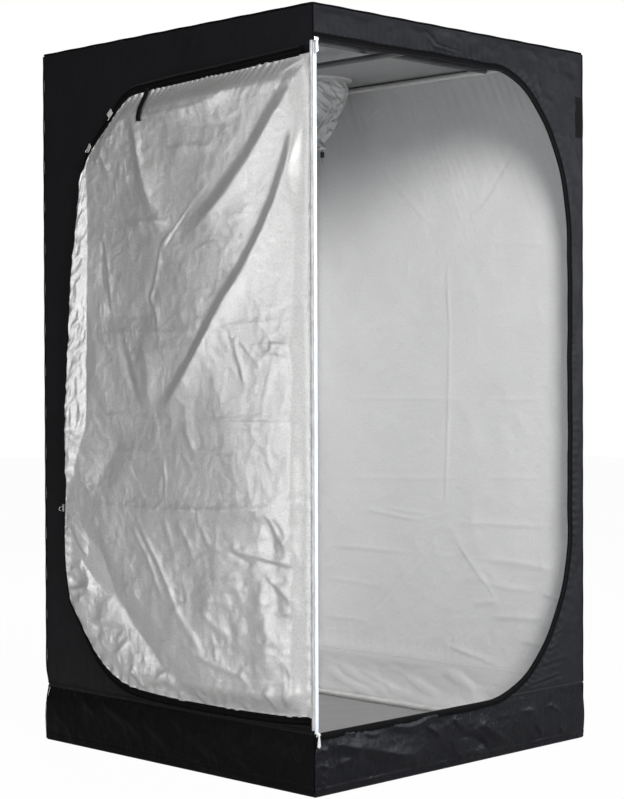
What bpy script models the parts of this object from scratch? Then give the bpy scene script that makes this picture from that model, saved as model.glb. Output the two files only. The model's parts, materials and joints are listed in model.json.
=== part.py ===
"""Indoor grow tent: a tube frame in a woven cover, with a large D-shaped doorway.

Metres, +Z up.  The origin is the middle of the floor sheet's underside.  The doorway is in the
front wall, which faces -Y.  The door leaf is shown as photographed: turned right back round the
near corner, so that it hangs over the left wall, which faces -X, with its inner side showing.
"""

from math import atan2, cos, exp, hypot, pi, radians, sin, sqrt

import bmesh
import bpy
from mathutils import Matrix, Vector

# The cover's outer size.
tent_width = 1.0
tent_depth = 1.0
tent_height = 1.8

# Cloth, the gap that two sewn or seated pieces keep, and the gap beside a turning piece.
cloth_thickness = 0.002
webbing_thickness = 0.0015
seam_gap = 0.0003
swing_gap = 0.0006

# Frame tubes and their corner connectors.
pole_radius = 0.008
pole_wall = 0.001
pole_sides = 16
hub_margin = 0.0032
plug_length = 0.028
splice_length = 0.040

# Roof bars, with hooks that ride on the top rails.
hook_thickness = 0.0017
hook_width = 0.014
hook_foot = 0.028
hook_weld = 0.0006
hook_wrap_degrees = 25
hook_arc_steps = 8
bar_end_gap = 0.0013
crossing_gap = 0.004
long_bar_x = 0.0
cross_bar_inset = 0.31

# Lower skirts and the piping round the roof.
skirt_height = 0.145
skirt_bulge = 0.003
skirt_waist = 0.0015
skirt_profile_shares = ((0.0, 0.0), (0.15, 0.6), (0.4, 1.0), (0.65, 0.6), (0.82, 0.0))
piping_size = 0.005
piping_proud = 0.0015

# Doorway: straight edges with an elliptical quarter at its upper and its lower far corner.
doorway_head = 0.084
doorway_far_band = 0.063
upper_curve_width = 0.307
upper_curve_height = 0.43
lower_curve_width = 0.34
lower_curve_height = 0.42
curve_steps = 11

# Zip tape with its chain, round the doorway and round the door leaf.
tape_width = 0.018
chain_width = 0.005
chain_height = 0.0015
leaf_tape_width = 0.022
leaf_tape_start = 0.030
leaf_tape_end = 0.005
leaf_tape_turn_degrees = 35

# Zip sliders and their pulls.
slider_length = 0.012
slider_wall = 0.0012
ear_width = 0.0012
ear_reach = 0.0032
pull_length = 0.030
pull_width = 0.010
pull_neck = 0.0050
pull_thickness = 0.0018
pull_axis_share = 0.75

# Corner piping that the door leaf turns on.
hinge_side_standoff = 0.0125
hinge_front_standoff = 0.006
hinge_cord_radius = 0.003
hinge_fin_thickness = 0.0012
hinge_fin_bite_share = 0.75
hinge_head_gap = 0.004

# Door leaf, as it hangs folded back.
leaf_far_margin = 0.0435
leaf_foot_rise = 0.0105
leaf_head_drop = 0.031
leaf_lift = 0.012
leaf_lift_start_share = 0.6
leaf_columns = 20
leaf_rows = 27
leaf_billow = 0.005
fold_height = 0.016
fold_reach = 0.040
fold_fade = 0.060
valley_limit = 0.004

# The leaf's outline: shares of its width from the hinge, and of its height from its foot.
leaf_top_shares = (
    (0.0, 1.0), (0.30, 0.992), (0.64, 0.983), (0.72, 0.975), (0.80, 0.937), (0.89, 0.886), (0.92, 0.845),
)
leaf_side_shares = (
    (0.975, 0.145), (0.996, 0.20), (1.0, 0.27), (0.989, 0.38), (0.971, 0.54), (0.953, 0.69), (0.92, 0.845),
)
leaf_foot_shares = (
    (0.0, 0.018), (0.13, 0.012), (0.40, 0.009), (0.64, 0.012), (0.76, 0.024), (0.86, 0.062), (0.975, 0.145),
)

# Drawn folds: height and reach as shares, then the crease's line on the leaf in the same shares.
leaf_fold_shares = (
    (-0.45, 1.0, ((0.03, 0.97), (0.22, 0.88), (0.39, 0.80), (0.55, 0.73))),
    (0.70, 1.1, ((0.02, 0.96), (0.16, 0.86), (0.33, 0.74), (0.47, 0.62))),
    (-0.45, 1.0, ((0.03, 0.94), (0.15, 0.79), (0.31, 0.65), (0.50, 0.52), (0.62, 0.45))),
    (0.85, 1.3, ((0.02, 0.93), (0.09, 0.75), (0.20, 0.60), (0.36, 0.47))),
    (-0.35, 0.9, ((0.68, 0.94), (0.52, 0.945), (0.37, 0.965), (0.25, 0.972))),
    (0.50, 1.0, ((0.66, 0.91), (0.50, 0.91), (0.33, 0.93))),
    (-0.35, 0.7, ((0.70, 0.96), (0.66, 0.88), (0.61, 0.78))),
    (0.45, 0.8, ((0.92, 0.84), (0.93, 0.66), (0.93, 0.46))),
    (-0.45, 0.9, ((0.95, 0.29), (0.85, 0.195), (0.73, 0.15), (0.60, 0.085), (0.44, 0.03))),
    (0.90, 1.1, ((0.97, 0.27), (0.90, 0.16), (0.78, 0.09), (0.62, 0.035))),
    (0.55, 1.2, ((0.90, 0.30), (0.74, 0.21), (0.60, 0.16), (0.40, 0.10))),
    (0.60, 1.0, ((0.10, 0.055), (0.05, 0.045), (0.02, 0.04))),
)

# Spring clips on the leaf's edge, the tie strap and the blank tag.
clip_width = 0.019
clip_depth = 0.015
clip_wall = 0.0011
clip_grip_gap = 0.0010
clip_back_room = 0.00185
clip_places_shares = ((0.78, 0.947), (0.87, 0.897), (1.0, 0.295))
lever_length = 0.024
lever_wire = 0.0008
lever_rise_degrees = 32
tie_place_share = 0.634
tie_width = 0.017
tie_length = 0.083
tie_thickness = 0.0012
tie_seat = 0.005
tag_width = 0.028
tag_height = 0.105
tag_drop = 0.117
tag_thickness = 0.001

# Floor tray.
tray_thickness = 0.002
tray_clearance = 0.001

# Roof duct port with its hanging sleeve, drawcord and cord lock.
port_radius = 0.10
port_inset = 0.19
port_sides = 28
sleeve_flange = 0.014
sleeve_drop = 0.195
sleeve_neck_radius = 0.026
sleeve_mouth_radius = 0.033
sleeve_mouth_height = 0.016
sleeve_lobes = 7
sleeve_lobe_depth = 0.006
cord_radius = 0.001
cord_gap = 0.001
cord_stand = 0.003
cord_tail = 0.055
cord_sides = 6
lock_radius = 0.006
lock_height = 0.016
lock_drop = 0.030

# Rear intake vent: a window with a mesh panel inside and a flap outside.
vent_width = 0.17
vent_height = 0.12
vent_rise = 0.115
vent_margin = 0.014
mesh_columns = 7
mesh_rows = 5
mesh_bar_share = 0.22
flap_margin = 0.020

# Places that follow from the sizes above.
half_width = tent_width / 2
half_depth = tent_depth / 2
hub_half = pole_radius + hub_margin
piping_inner = piping_size - piping_proud
frame_inset = piping_inner + seam_gap + hub_half
frame_x = half_width - frame_inset
frame_y = half_depth - frame_inset
frame_foot = cloth_thickness + seam_gap + hub_half
frame_top = tent_height - frame_foot
bore_radius = pole_radius - pole_wall
plug_radius = bore_radius - seam_gap
wall_foot = skirt_height + seam_gap
wall_top = tent_height - piping_inner - seam_gap
cut_overrun = cloth_thickness * 2
bar_drop = pole_radius * 2 + crossing_gap
cross_bar_y = cross_bar_inset - half_depth
doorway_top = tent_height - doorway_head
doorway_side = half_width - doorway_far_band
hinge_x = -half_width - hinge_side_standoff
hinge_y = -half_depth - hinge_front_standoff
hinge_top = doorway_top - hinge_head_gap
leaf_foot = skirt_height + leaf_foot_rise
leaf_width = half_width + doorway_side - leaf_far_margin
leaf_height = doorway_top - leaf_head_drop - leaf_foot
clip_back = webbing_thickness / 2 + chain_height + clip_grip_gap + clip_wall + clip_back_room
tag_foot = tent_height - tag_drop - tag_height
port_x = half_width - port_inset
port_y = half_depth - port_inset
vent_foot = skirt_height + vent_rise

materials = {
    "cover_black": ((0.014, 0.014, 0.016), 0.55, 0.0),
    "skirt_black": ((0.020, 0.020, 0.026), 0.42, 0.0),
    "silver_cloth": ((0.66, 0.66, 0.65), 0.40, 0.6),
    "tray_grey": ((0.42, 0.42, 0.42), 0.50, 0.0),
    "webbing_black": ((0.010, 0.010, 0.011), 0.70, 0.0),
    "pole_paint": ((0.80, 0.82, 0.85), 0.30, 0.2),
    "bare_steel": ((0.55, 0.55, 0.54), 0.32, 1.0),
    "connector_steel": ((0.45, 0.45, 0.46), 0.40, 1.0),
    "zip_metal": ((0.70, 0.70, 0.68), 0.25, 1.0),
    "clip_black": ((0.015, 0.015, 0.015), 0.35, 0.0),
    "mesh_black": ((0.012, 0.012, 0.012), 0.80, 0.0),
    "cord_grey": ((0.30, 0.30, 0.31), 0.70, 0.0),
    "lock_black": ((0.015, 0.015, 0.015), 0.45, 0.0),
}


def clear_scene():
    for old in list(bpy.data.objects):
        bpy.data.objects.remove(old, do_unlink=True)


def material(name):
    """One Principled material for each look, made when it is first asked for."""
    found = bpy.data.materials.get(name)
    if found:
        return found
    colour, roughness, metallic = materials[name]
    made = bpy.data.materials.new(name)
    made.use_nodes = True
    shader = made.node_tree.nodes["Principled BSDF"]
    shader.inputs["Base Color"].default_value = (*colour, 1)
    shader.inputs["Roughness"].default_value = roughness
    shader.inputs["Metallic"].default_value = metallic
    return made


def add_piece(name, mesh, look, smooth=True):
    if smooth:
        mesh.shade_smooth()
        mesh.set_sharp_from_angle(angle=radians(32))
    mesh.materials.clear()
    mesh.materials.append(material(look))
    piece = bpy.data.objects.new(name, mesh)
    bpy.context.collection.objects.link(piece)
    return piece


def mesh_of(name, points, faces):
    """A closed mesh with its faces turned out."""
    mesh = bpy.data.meshes.new(name)
    mesh.from_pydata([tuple(point) for point in points], [], faces)
    shape = bmesh.new()
    shape.from_mesh(mesh)
    bmesh.ops.recalc_face_normals(shape, faces=shape.faces)
    shape.to_mesh(mesh)
    shape.free()
    return mesh


def loft(name, rings, joined=False):
    """A skin over rings of equal length.  The ends are capped, or joined to each other."""
    around = len(rings[0])
    points = [point for ring in rings for point in ring]
    faces = []
    for at in range(len(rings) if joined else len(rings) - 1):
        here = at * around
        there = (at + 1) % len(rings) * around
        for step in range(around):
            after = (step + 1) % around
            faces.append((here + step, here + after, there + after, there + step))
    if not joined:
        faces.append(tuple(range(around)))
        faces.append(tuple(range(len(points) - around, len(points))))
    return mesh_of(name, points, faces)


def prism(name, outline, axis, low, high):
    """A flat outline, given in the two other axes in X, Y, Z order, run along one axis."""

    def point(pair, depth):
        spot = list(pair)
        spot.insert(axis, depth)
        return Vector(spot)

    return loft(name, [[point(pair, depth) for pair in outline] for depth in (low, high)])


def box(name, low, high):
    outline = ((low[0], low[1]), (high[0], low[1]), (high[0], high[1]), (low[0], high[1]))
    return prism(name, outline, 2, low[2], high[2])


def on_circle(radius, angle, height):
    return Vector((radius * cos(angle), radius * sin(angle), height))


def turned(name, profile, sides):
    """A closed profile of radius and height, turned right round the Z axis."""
    rings = []
    for step in range(sides):
        angle = 2 * pi * (step + 0.5) / sides
        rings.append([on_circle(radius, angle, height) for radius, height in profile])
    return loft(name, rings, joined=True)


def rod(name, radius, low, high, sides):
    """A solid round bar on the Z axis."""
    rings = []
    for height in (low, high):
        angles = [2 * pi * (step + 0.5) / sides for step in range(sides)]
        rings.append([on_circle(radius, angle, height) for angle in angles])
    return loft(name, rings)


def tube_along(name, points, radius, sides):
    """A round wire through the points, with mitred bends and flat ends."""
    rings = []
    across = None
    for at, point in enumerate(points):
        before = points[max(at - 1, 0)]
        after = points[min(at + 1, len(points) - 1)]
        along = (after - before).normalized()
        if across is None:
            guide = Vector((0, 0, 1)) if abs(along.z) < 0.9 else Vector((1, 0, 0))
            across = along.cross(guide).normalized()
        else:
            across = (across - along * across.dot(along)).normalized()
        other = along.cross(across)
        angles = [2 * pi * step / sides for step in range(sides)]
        rings.append([point + radius * (cos(angle) * across + sin(angle) * other) for angle in angles])
    return loft(name, rings)


def placed(mesh, turn=None, move=(0, 0, 0)):
    if turn is not None:
        mesh.transform(turn)
    mesh.transform(Matrix.Translation(move))
    return mesh


def combine(base, tool_mesh, operation, name):
    """A Boolean modifier on the base, with its tool shown as wire only."""
    tool = bpy.data.objects.new(name, tool_mesh)
    bpy.context.collection.objects.link(tool)
    tool.hide_render = True
    tool.display_type = "WIRE"
    change = base.modifiers.new(name, "BOOLEAN")
    change.object = tool
    change.operation = operation
    change.solver = "EXACT"
    return tool


def axis_at(name, place):
    """An empty on a joint's axis."""
    empty = bpy.data.objects.new(name, None)
    empty.empty_display_size = pole_radius
    empty.location = place
    bpy.context.collection.objects.link(empty)
    return empty


def hang_on(empty, pieces):
    """Parents world-placed pieces to an empty and leaves them where they are."""
    for piece in pieces:
        piece.parent = empty
        piece.matrix_parent_inverse = Matrix.Translation(empty.location).inverted()


def nest_on(empty, pieces, parents):
    """As hang_on, for an empty that itself hangs on other empties."""
    hang_on(empty, pieces)
    outer = parents[-1]
    empty.parent = outer
    empty.matrix_parent_inverse = Matrix.Translation(outer.location).inverted()


def lie_along(axis):
    """The turn that lays a shape made along Z along another axis."""
    if axis == "X":
        return Matrix.Rotation(pi / 2, 4, "Y")
    if axis == "Y":
        return Matrix.Rotation(-pi / 2, 4, "X")
    return Matrix.Identity(4)


def build_frame():
    """Four posts in two lengths, four bottom and four top rails, eight corner connectors."""
    tube_profile = (pole_radius, bore_radius)
    post_low = frame_foot + hub_half + seam_gap
    post_high = frame_top - hub_half - seam_gap
    post_middle = (post_low + post_high) / 2
    splice_bore = plug_radius - pole_wall
    lower_profile = (
        (bore_radius, post_low),
        (pole_radius, post_low),
        (pole_radius, post_middle),
        (plug_radius, post_middle),
        (plug_radius, post_middle + splice_length),
        (splice_bore, post_middle + splice_length),
        (splice_bore, post_middle - pole_wall),
        (bore_radius, post_middle - pole_wall * 2),
    )
    upper_profile = ring_profile(tube_profile, post_middle + seam_gap, post_high)
    corners = {"front_left": (-1, -1), "front_right": (1, -1), "rear_left": (-1, 1), "rear_right": (1, 1)}
    for corner, (side_x, side_y) in corners.items():
        place = (side_x * frame_x, side_y * frame_y, 0)
        lower = turned(f"post_{corner}_lower", lower_profile, pole_sides)
        add_piece(f"post_{corner}_lower", placed(lower, move=place), "pole_paint")
        upper = turned(f"post_{corner}_upper", upper_profile, pole_sides)
        add_piece(f"post_{corner}_upper", placed(upper, move=place), "pole_paint")
        for level, height, side_z in (("bottom", frame_foot, 1), ("top", frame_top, -1)):
            name = f"connector_{level}_{corner}"
            add_connector(name, (place[0], place[1], height), (-side_x, -side_y, side_z))
    reach_x = frame_x - hub_half - seam_gap
    reach_y = frame_y - hub_half - seam_gap
    for level, height in (("bottom", frame_foot), ("top", frame_top)):
        for side, side_y in (("front", -1), ("rear", 1)):
            profile = ring_profile(tube_profile, -reach_x, reach_x)
            rail = turned(f"rail_{level}_{side}", profile, pole_sides)
            placed(rail, lie_along("X"), (0, side_y * frame_y, height))
            add_piece(f"rail_{level}_{side}", rail, "bare_steel")
        for side, side_x in (("left", -1), ("right", 1)):
            profile = ring_profile(tube_profile, -reach_y, reach_y)
            rail = turned(f"rail_{level}_{side}", profile, pole_sides)
            placed(rail, lie_along("Y"), (side_x * frame_x, 0, height))
            add_piece(f"rail_{level}_{side}", rail, "bare_steel")


def ring_profile(radii, low, high):
    outer, inner = radii
    return ((inner, low), (outer, low), (outer, high), (inner, high))


def add_connector(name, place, inward):
    """A cube with a plug into each of the three tubes that meet at it."""
    cube = box(name, (-hub_half,) * 3, (hub_half,) * 3)
    connector = add_piece(name, placed(cube, move=place), "connector_steel")
    for axis, sign in zip("XYZ", inward):
        start, end = sorted((0, sign * (hub_half + plug_length)))
        plug = rod(f"{name}_plug", plug_radius, start, end, pole_sides)
        combine(connector, placed(plug, lie_along(axis), place), "UNION", f"{name}_plug_{axis}")


def hook_outline(drop):
    """The hook at a bar's far end, seen along the rail: across, and height above the rail's axis.

    It wraps over the rail and runs back along the top of the bar's tube, drop below the rail's axis.
    """
    inner = pole_radius + seam_gap
    outer = inner + hook_thickness
    wrap = radians(hook_wrap_degrees)
    steps = hook_arc_steps
    outline = []
    if drop:
        sole = pole_radius - drop - hook_weld
        end = pi
        tail = [(-outer, sole + hook_thickness + hook_weld), (-hook_foot, sole + hook_thickness + hook_weld)]
        tail += [(-hook_foot, sole), (-inner, sole)]
    else:
        sole = pole_radius - hook_weld
        end = pi / 2
        tail = [(-hook_foot, outer), (-hook_foot, sole), (-sqrt(inner**2 - sole**2) - seam_gap, sole)]
    for step in range(steps + 1):
        angle = -wrap + (end + wrap) * step / steps
        outline.append((outer * cos(angle), outer * sin(angle)))
    outline += tail
    back = end if drop else pi / 2 + radians(hook_wrap_degrees) / 2
    for step in range(steps + 1):
        angle = back - (back + wrap) * step / steps
        outline.append((inner * cos(angle), inner * sin(angle)))
    return outline


def build_roof_bars():
    """The long bar hangs under the cross bar, so that each can slide past the other."""
    bars = (
        ("roof_bar_long", "Y", frame_y, frame_top, bar_drop, (long_bar_x, 0, 0)),
        ("roof_bar_cross", "X", frame_x, frame_top, 0, (0, cross_bar_y, 0)),
    )
    for name, axis, rail_place, rail_height, drop, centre in bars:
        reach = rail_place - pole_radius - bar_end_gap
        tube = turned(name, ring_profile((pole_radius, bore_radius), -reach, reach), pole_sides)
        tube_height = rail_height - drop
        middle = Vector(centre) + Vector((0, 0, tube_height))
        bar = add_piece(name, placed(tube, lie_along(axis), middle), "bare_steel")
        for sign in (-1, 1):
            outline = hook_outline(drop)
            outline = [(sign * (rail_place + across), rail_height + up) for across, up in outline]
            run = 0 if axis == "Y" else 1
            low, high = centre[run] - hook_width / 2, centre[run] + hook_width / 2
            hook = prism(f"{name}_hook", outline, run, low, high)
            combine(bar, hook, "UNION", f"{name}_hook_{'far' if sign > 0 else 'near'}")


def skirt_outline(outward):
    """A skirt's section: place across the wall, and height.  Outward is the wall's outer face."""
    sign = 1 if outward > 0 else -1
    low = cloth_thickness + seam_gap
    rise = skirt_height - low
    outer = []
    for rise_share, swell_share in skirt_profile_shares:
        outer.append((outward + sign * skirt_bulge * swell_share, low + rise * rise_share))
    outer.append((outward - sign * skirt_waist, skirt_height))
    inner = [(across - sign * cloth_thickness, height) for across, height in reversed(outer)]
    return outer + inner


def build_cover():
    """Floor sheet, skirts, three plain walls, roof, and the piping round the roof's edge."""
    sheet = box("floor_sheet", (-half_width, -half_depth, 0), (half_width, half_depth, cloth_thickness))
    add_piece("floor_sheet", sheet, "cover_black")
    end_y = half_depth - cloth_thickness - skirt_waist - seam_gap
    for side, sign in (("front", -1), ("rear", 1)):
        skirt = prism(f"skirt_{side}", skirt_outline(sign * half_depth), 0, -half_width, half_width)
        add_piece(f"skirt_{side}", skirt, "skirt_black")
    for side, sign in (("left", -1), ("right", 1)):
        skirt = prism(f"skirt_{side}", skirt_outline(sign * half_width), 1, -end_y, end_y)
        add_piece(f"skirt_{side}", skirt, "skirt_black")
    inner_y = half_depth - cloth_thickness - seam_gap
    for side, sign in (("left", -1), ("right", 1)):
        faces = sorted((sign * half_width, sign * (half_width - cloth_thickness)))
        wall = box(f"wall_{side}", (faces[0], -inner_y, wall_foot), (faces[1], inner_y, wall_top))
        add_piece(f"wall_{side}", wall, "cover_black")
    rear = box(
        "wall_rear",
        (-half_width, half_depth - cloth_thickness, wall_foot),
        (half_width, half_depth, wall_top),
    )
    rear_wall = add_piece("wall_rear", rear, "cover_black")
    window = box(
        "vent_window",
        (-vent_width / 2, half_depth - cloth_thickness - cut_overrun, vent_foot),
        (vent_width / 2, half_depth + cut_overrun, vent_foot + vent_height),
    )
    combine(rear_wall, window, "DIFFERENCE", "vent_window")
    edge_x = half_width - piping_inner - seam_gap
    edge_y = half_depth - piping_inner - seam_gap
    roof_foot = tent_height - cloth_thickness
    roof = box("roof_panel", (-edge_x, -edge_y, roof_foot), (edge_x, edge_y, tent_height))
    roof_panel = add_piece("roof_panel", roof, "cover_black")
    hole = rod("port_hole", port_radius, wall_top, tent_height + cut_overrun, port_sides)
    combine(roof_panel, placed(hole, move=(port_x, port_y, 0)), "DIFFERENCE", "port_hole")
    add_piece("roof_piping", roof_piping_mesh(), "webbing_black")


def roof_piping_mesh():
    """A square ring with mitred corners, its section an octagon."""
    middle = piping_proud - piping_size / 2
    reach = piping_size / 2
    section = []
    for step in range(8):
        angle = pi / 8 + step * pi / 4
        section.append((reach * cos(angle) / cos(pi / 8), reach * sin(angle) / cos(pi / 8)))
    rings = []
    for side_x, side_y in ((-1, -1), (1, -1), (1, 1), (-1, 1)):
        ring = []
        for out, up in section:
            across_x = side_x * (half_width + middle + out)
            across_y = side_y * (half_depth + middle + out)
            ring.append(Vector((across_x, across_y, tent_height + middle + up)))
        rings.append(ring)
    return loft("roof_piping", rings, joined=True)


def doorway_curve(offset, start_x):
    """The doorway's edge moved outward by offset, from its top corner round to its lower corner."""
    upper_centre = (doorway_side - upper_curve_width, doorway_top - upper_curve_height)
    lower_centre = (doorway_side - lower_curve_width, skirt_height + lower_curve_height)
    points = [(start_x, doorway_top + offset)]
    for step in range(curve_steps + 1):
        angle = pi / 2 * (1 - step / curve_steps)
        across = upper_centre[0] + (upper_curve_width + offset) * cos(angle)
        points.append((across, upper_centre[1] + (upper_curve_height + offset) * sin(angle)))
    for step in range(curve_steps + 1):
        angle = -pi / 2 * step / curve_steps
        across = lower_centre[0] + (lower_curve_width + offset) * cos(angle)
        points.append((across, lower_centre[1] + (lower_curve_height + offset) * sin(angle)))
    points.append((start_x, skirt_height - offset))
    return points


def build_front_wall():
    """The wall above and beyond the doorway, ending in a toe where the curve meets the skirt."""
    toe_height = wall_foot + cloth_thickness
    edge = [point for point in doorway_curve(0, -half_width)[:-1] if point[1] > toe_height]
    lift = (toe_height - skirt_height) / lower_curve_height
    toe_across = doorway_side - lower_curve_width + lower_curve_width * sqrt(1 - (1 - lift) ** 2)
    outline = edge + [(toe_across, toe_height), (toe_across, wall_foot)]
    outline += [(half_width, wall_foot), (half_width, wall_top), (-half_width, wall_top)]
    mesh = prism("wall_front", outline, 1, -half_depth, cloth_thickness - half_depth)
    add_piece("wall_front", mesh, "cover_black")


def build_doorway_zip():
    """Tape sewn round the doorway's edge, with the chain raised along its inner side."""
    face = -half_depth - seam_gap
    section = (
        (0, 0),
        (0, webbing_thickness + chain_height),
        (chain_width, webbing_thickness + chain_height),
        (chain_width, webbing_thickness),
        (tape_width, webbing_thickness),
        (tape_width, 0),
    )
    lines = [doorway_curve(offset, -half_width) for offset, _ in section]
    rings = []
    for at in range(len(lines[0])):
        ring = []
        for line, (_, proud) in zip(lines, section):
            ring.append(Vector((line[at][0], face - proud, line[at][1])))
        rings.append(ring)
    add_piece("doorway_zip", loft("doorway_zip", rings), "webbing_black")
    top = build_slider("top", doorway_top, 1, face)
    bottom = build_slider("bottom", skirt_height, -1, face)
    return top, bottom


def build_slider(name, edge, side, face):
    """A channel over the chain, with two ears that carry the hanging pull between them."""
    under = webbing_thickness + seam_gap
    roof = webbing_thickness + chain_height + seam_gap
    crown = roof + slider_wall
    section = (
        (-seam_gap - slider_wall, under),
        (-seam_gap, under),
        (-seam_gap, roof),
        (chain_width + seam_gap, roof),
        (chain_width + seam_gap, under),
        (chain_width + seam_gap + slider_wall, under),
        (chain_width + seam_gap + slider_wall, crown),
        (-seam_gap - slider_wall, crown),
    )
    outline = [(face - depth, edge + side * offset) for offset, depth in section]
    left = -half_width
    channel = prism("slider", outline, 0, left, left + slider_length)
    body = add_piece(f"zip_slider_{name}", channel, "zip_metal")
    middle_x = left + slider_length / 2
    axis_z = edge + side * chain_width / 2
    axis_depth = crown + seam_gap + pull_thickness * pull_axis_share
    ear_low = pull_neck / 2 + seam_gap
    for sign in (-1, 1):
        ear_high = ear_low + ear_width
        spans = sorted((middle_x + sign * ear_low, middle_x + sign * ear_high))
        ear = box(
            "ear",
            (spans[0], face - crown - ear_reach, axis_z - pull_thickness),
            (spans[1], face - crown + slider_wall / 2, axis_z + pull_thickness),
        )
        combine(body, ear, "UNION", f"slider_{name}_ear_{'right' if sign > 0 else 'left'}")
    pull_axis = (middle_x, face - axis_depth, axis_z)
    pull = add_piece(f"zip_pull_{name}", pull_mesh(pull_axis), "zip_metal")
    slide = axis_at(f"slider_{name}_axis", (middle_x, face, axis_z))
    hang_on(slide, [body])
    nest_on(axis_at(f"pull_{name}_axis", pull_axis), [pull], [slide])
    return slide


def pull_mesh(axis):
    """A teardrop plate that hangs from its neck."""
    round_centre = pull_length - pull_width / 2
    outline = [(-pull_neck / 2, pull_thickness / 2), (-pull_neck / 2, -pull_width / 2)]
    steps = 10
    for step in range(steps + 1):
        angle = pi + pi * step / steps
        outline.append((pull_width / 2 * cos(angle), -round_centre + pull_width / 2 * sin(angle)))
    outline += [(pull_neck / 2, -pull_width / 2), (pull_neck / 2, pull_thickness / 2)]
    world = [(axis[0] + across, axis[2] + up) for across, up in outline]
    return prism("pull", world, 1, axis[1] - pull_thickness / 2, axis[1] + pull_thickness / 2)


def build_corner_piping():
    """The piped seam that the door leaf turns on: a round cord with a fin into the corner."""
    bite = cloth_thickness * hinge_fin_bite_share
    reach_x = hinge_side_standoff + bite
    reach_y = hinge_front_standoff + bite
    inward = hypot(reach_x, reach_y)
    half = hinge_fin_thickness / 2
    lean = atan2(half, hinge_cord_radius)
    outline = []
    steps = 14
    for step in range(steps + 1):
        angle = lean + (2 * pi - 2 * lean) * step / steps
        outline.append((hinge_cord_radius * cos(angle), hinge_cord_radius * sin(angle)))
    outline += [(inward, -half), (inward, half)]
    turn = Matrix.Rotation(atan2(reach_y, reach_x), 4, "Z")
    mesh = prism("corner_piping", outline, 2, leaf_foot, hinge_top)
    add_piece("corner_piping", placed(mesh, turn, (hinge_x, hinge_y, 0)), "webbing_black")


def smooth_step(value):
    value = min(max(value, 0), 1)
    return value * value * (3 - 2 * value)


def curve_through(places, at):
    """A smooth single-valued curve through the places, read at one abscissa."""
    for index in range(len(places) - 1):
        if at <= places[index + 1][0] or index == len(places) - 2:
            break

    def slope(n):
        low = places[max(n - 1, 0)]
        high = places[min(n + 1, len(places) - 1)]
        return (high[1] - low[1]) / (high[0] - low[0])

    (x0, y0), (x1, y1) = places[index], places[index + 1]
    run = x1 - x0
    t = (at - x0) / run
    return (
        (2 * t**3 - 3 * t**2 + 1) * y0
        + (t**3 - 2 * t**2 + t) * run * slope(index)
        + (3 * t**2 - 2 * t**3) * y1
        + (t**3 - t**2) * run * slope(index + 1)
    )


def leaf_grid():
    """Places on the leaf, as distance from the hinge axis and height: columns of rows."""
    start = hinge_cord_radius + swing_gap
    side_by_height = [(height, across) for across, height in leaf_side_shares]
    low_height, high_height = side_by_height[0][0], side_by_height[-1][0]
    columns = []
    for column in range(leaf_columns + 1):
        u = column / leaf_columns
        foot = curve_through(leaf_foot_shares, u * leaf_foot_shares[-1][0])
        top = curve_through(leaf_top_shares, u * leaf_top_shares[-1][0])
        rows = []
        for row in range(leaf_rows + 1):
            v = row / leaf_rows
            reach = curve_through(side_by_height, low_height + (high_height - low_height) * v) * leaf_width
            across = start + (reach - start) * u
            rows.append((across, leaf_foot + leaf_height * (foot + (top - foot) * v)))
        columns.append(rows)
    return columns


def distance_to_line(place, line):
    best = None
    for (ax, az), (bx, bz) in zip(line, line[1:]):
        dx, dz = bx - ax, bz - az
        along = ((place[0] - ax) * dx + (place[1] - az) * dz) / (dx * dx + dz * dz)
        along = min(max(along, 0), 1)
        gap = hypot(place[0] - ax - along * dx, place[1] - az - along * dz)
        best = gap if best is None else min(best, gap)
    return best


def leaf_stand(across):
    """How far the flat leaf stands off the hinge's plane, away from the wall."""
    lift_start = leaf_width * leaf_lift_start_share
    return leaf_lift * smooth_step((across - lift_start) / (leaf_width - lift_start))


def leaf_relief(place, border):
    """The folds' height over the flat leaf, which fades out towards the border."""
    fade = smooth_step(distance_to_line(place, border) / fold_fade)
    height = leaf_billow
    for height_share, reach_share, line_shares in leaf_fold_shares:
        line = [(x * leaf_width, leaf_foot + z * leaf_height) for x, z in line_shares]
        away = distance_to_line(place, line) / (fold_reach * reach_share)
        height += fold_height * height_share * exp(-(away**2))
    return fade * max(height, -valley_limit)


def leaf_border(grid):
    """The leaf's outline from the hinge's top, round the far side, to the hinge's foot."""
    top = [column[-1] for column in grid]
    side = list(reversed(grid[-1]))[1:]
    foot = [column[0] for column in reversed(grid)][1:]
    return top + side + foot


def tape_border(border):
    """The border without its last bit at the hinge's foot, so that the zip tape clears the corner piping."""
    (across, height), (next_across, next_height) = border[-1], border[-2]
    share = leaf_tape_end / hypot(next_across - across, next_height - height)
    end = (across + (next_across - across) * share, height + (next_height - height) * share)
    return border[:-1] + [end]


def leaf_world(across, height, out):
    """A place on the leaf in the tent's frame, out being away from the left wall."""
    return Vector((hinge_x - out, hinge_y + across, height))


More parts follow.
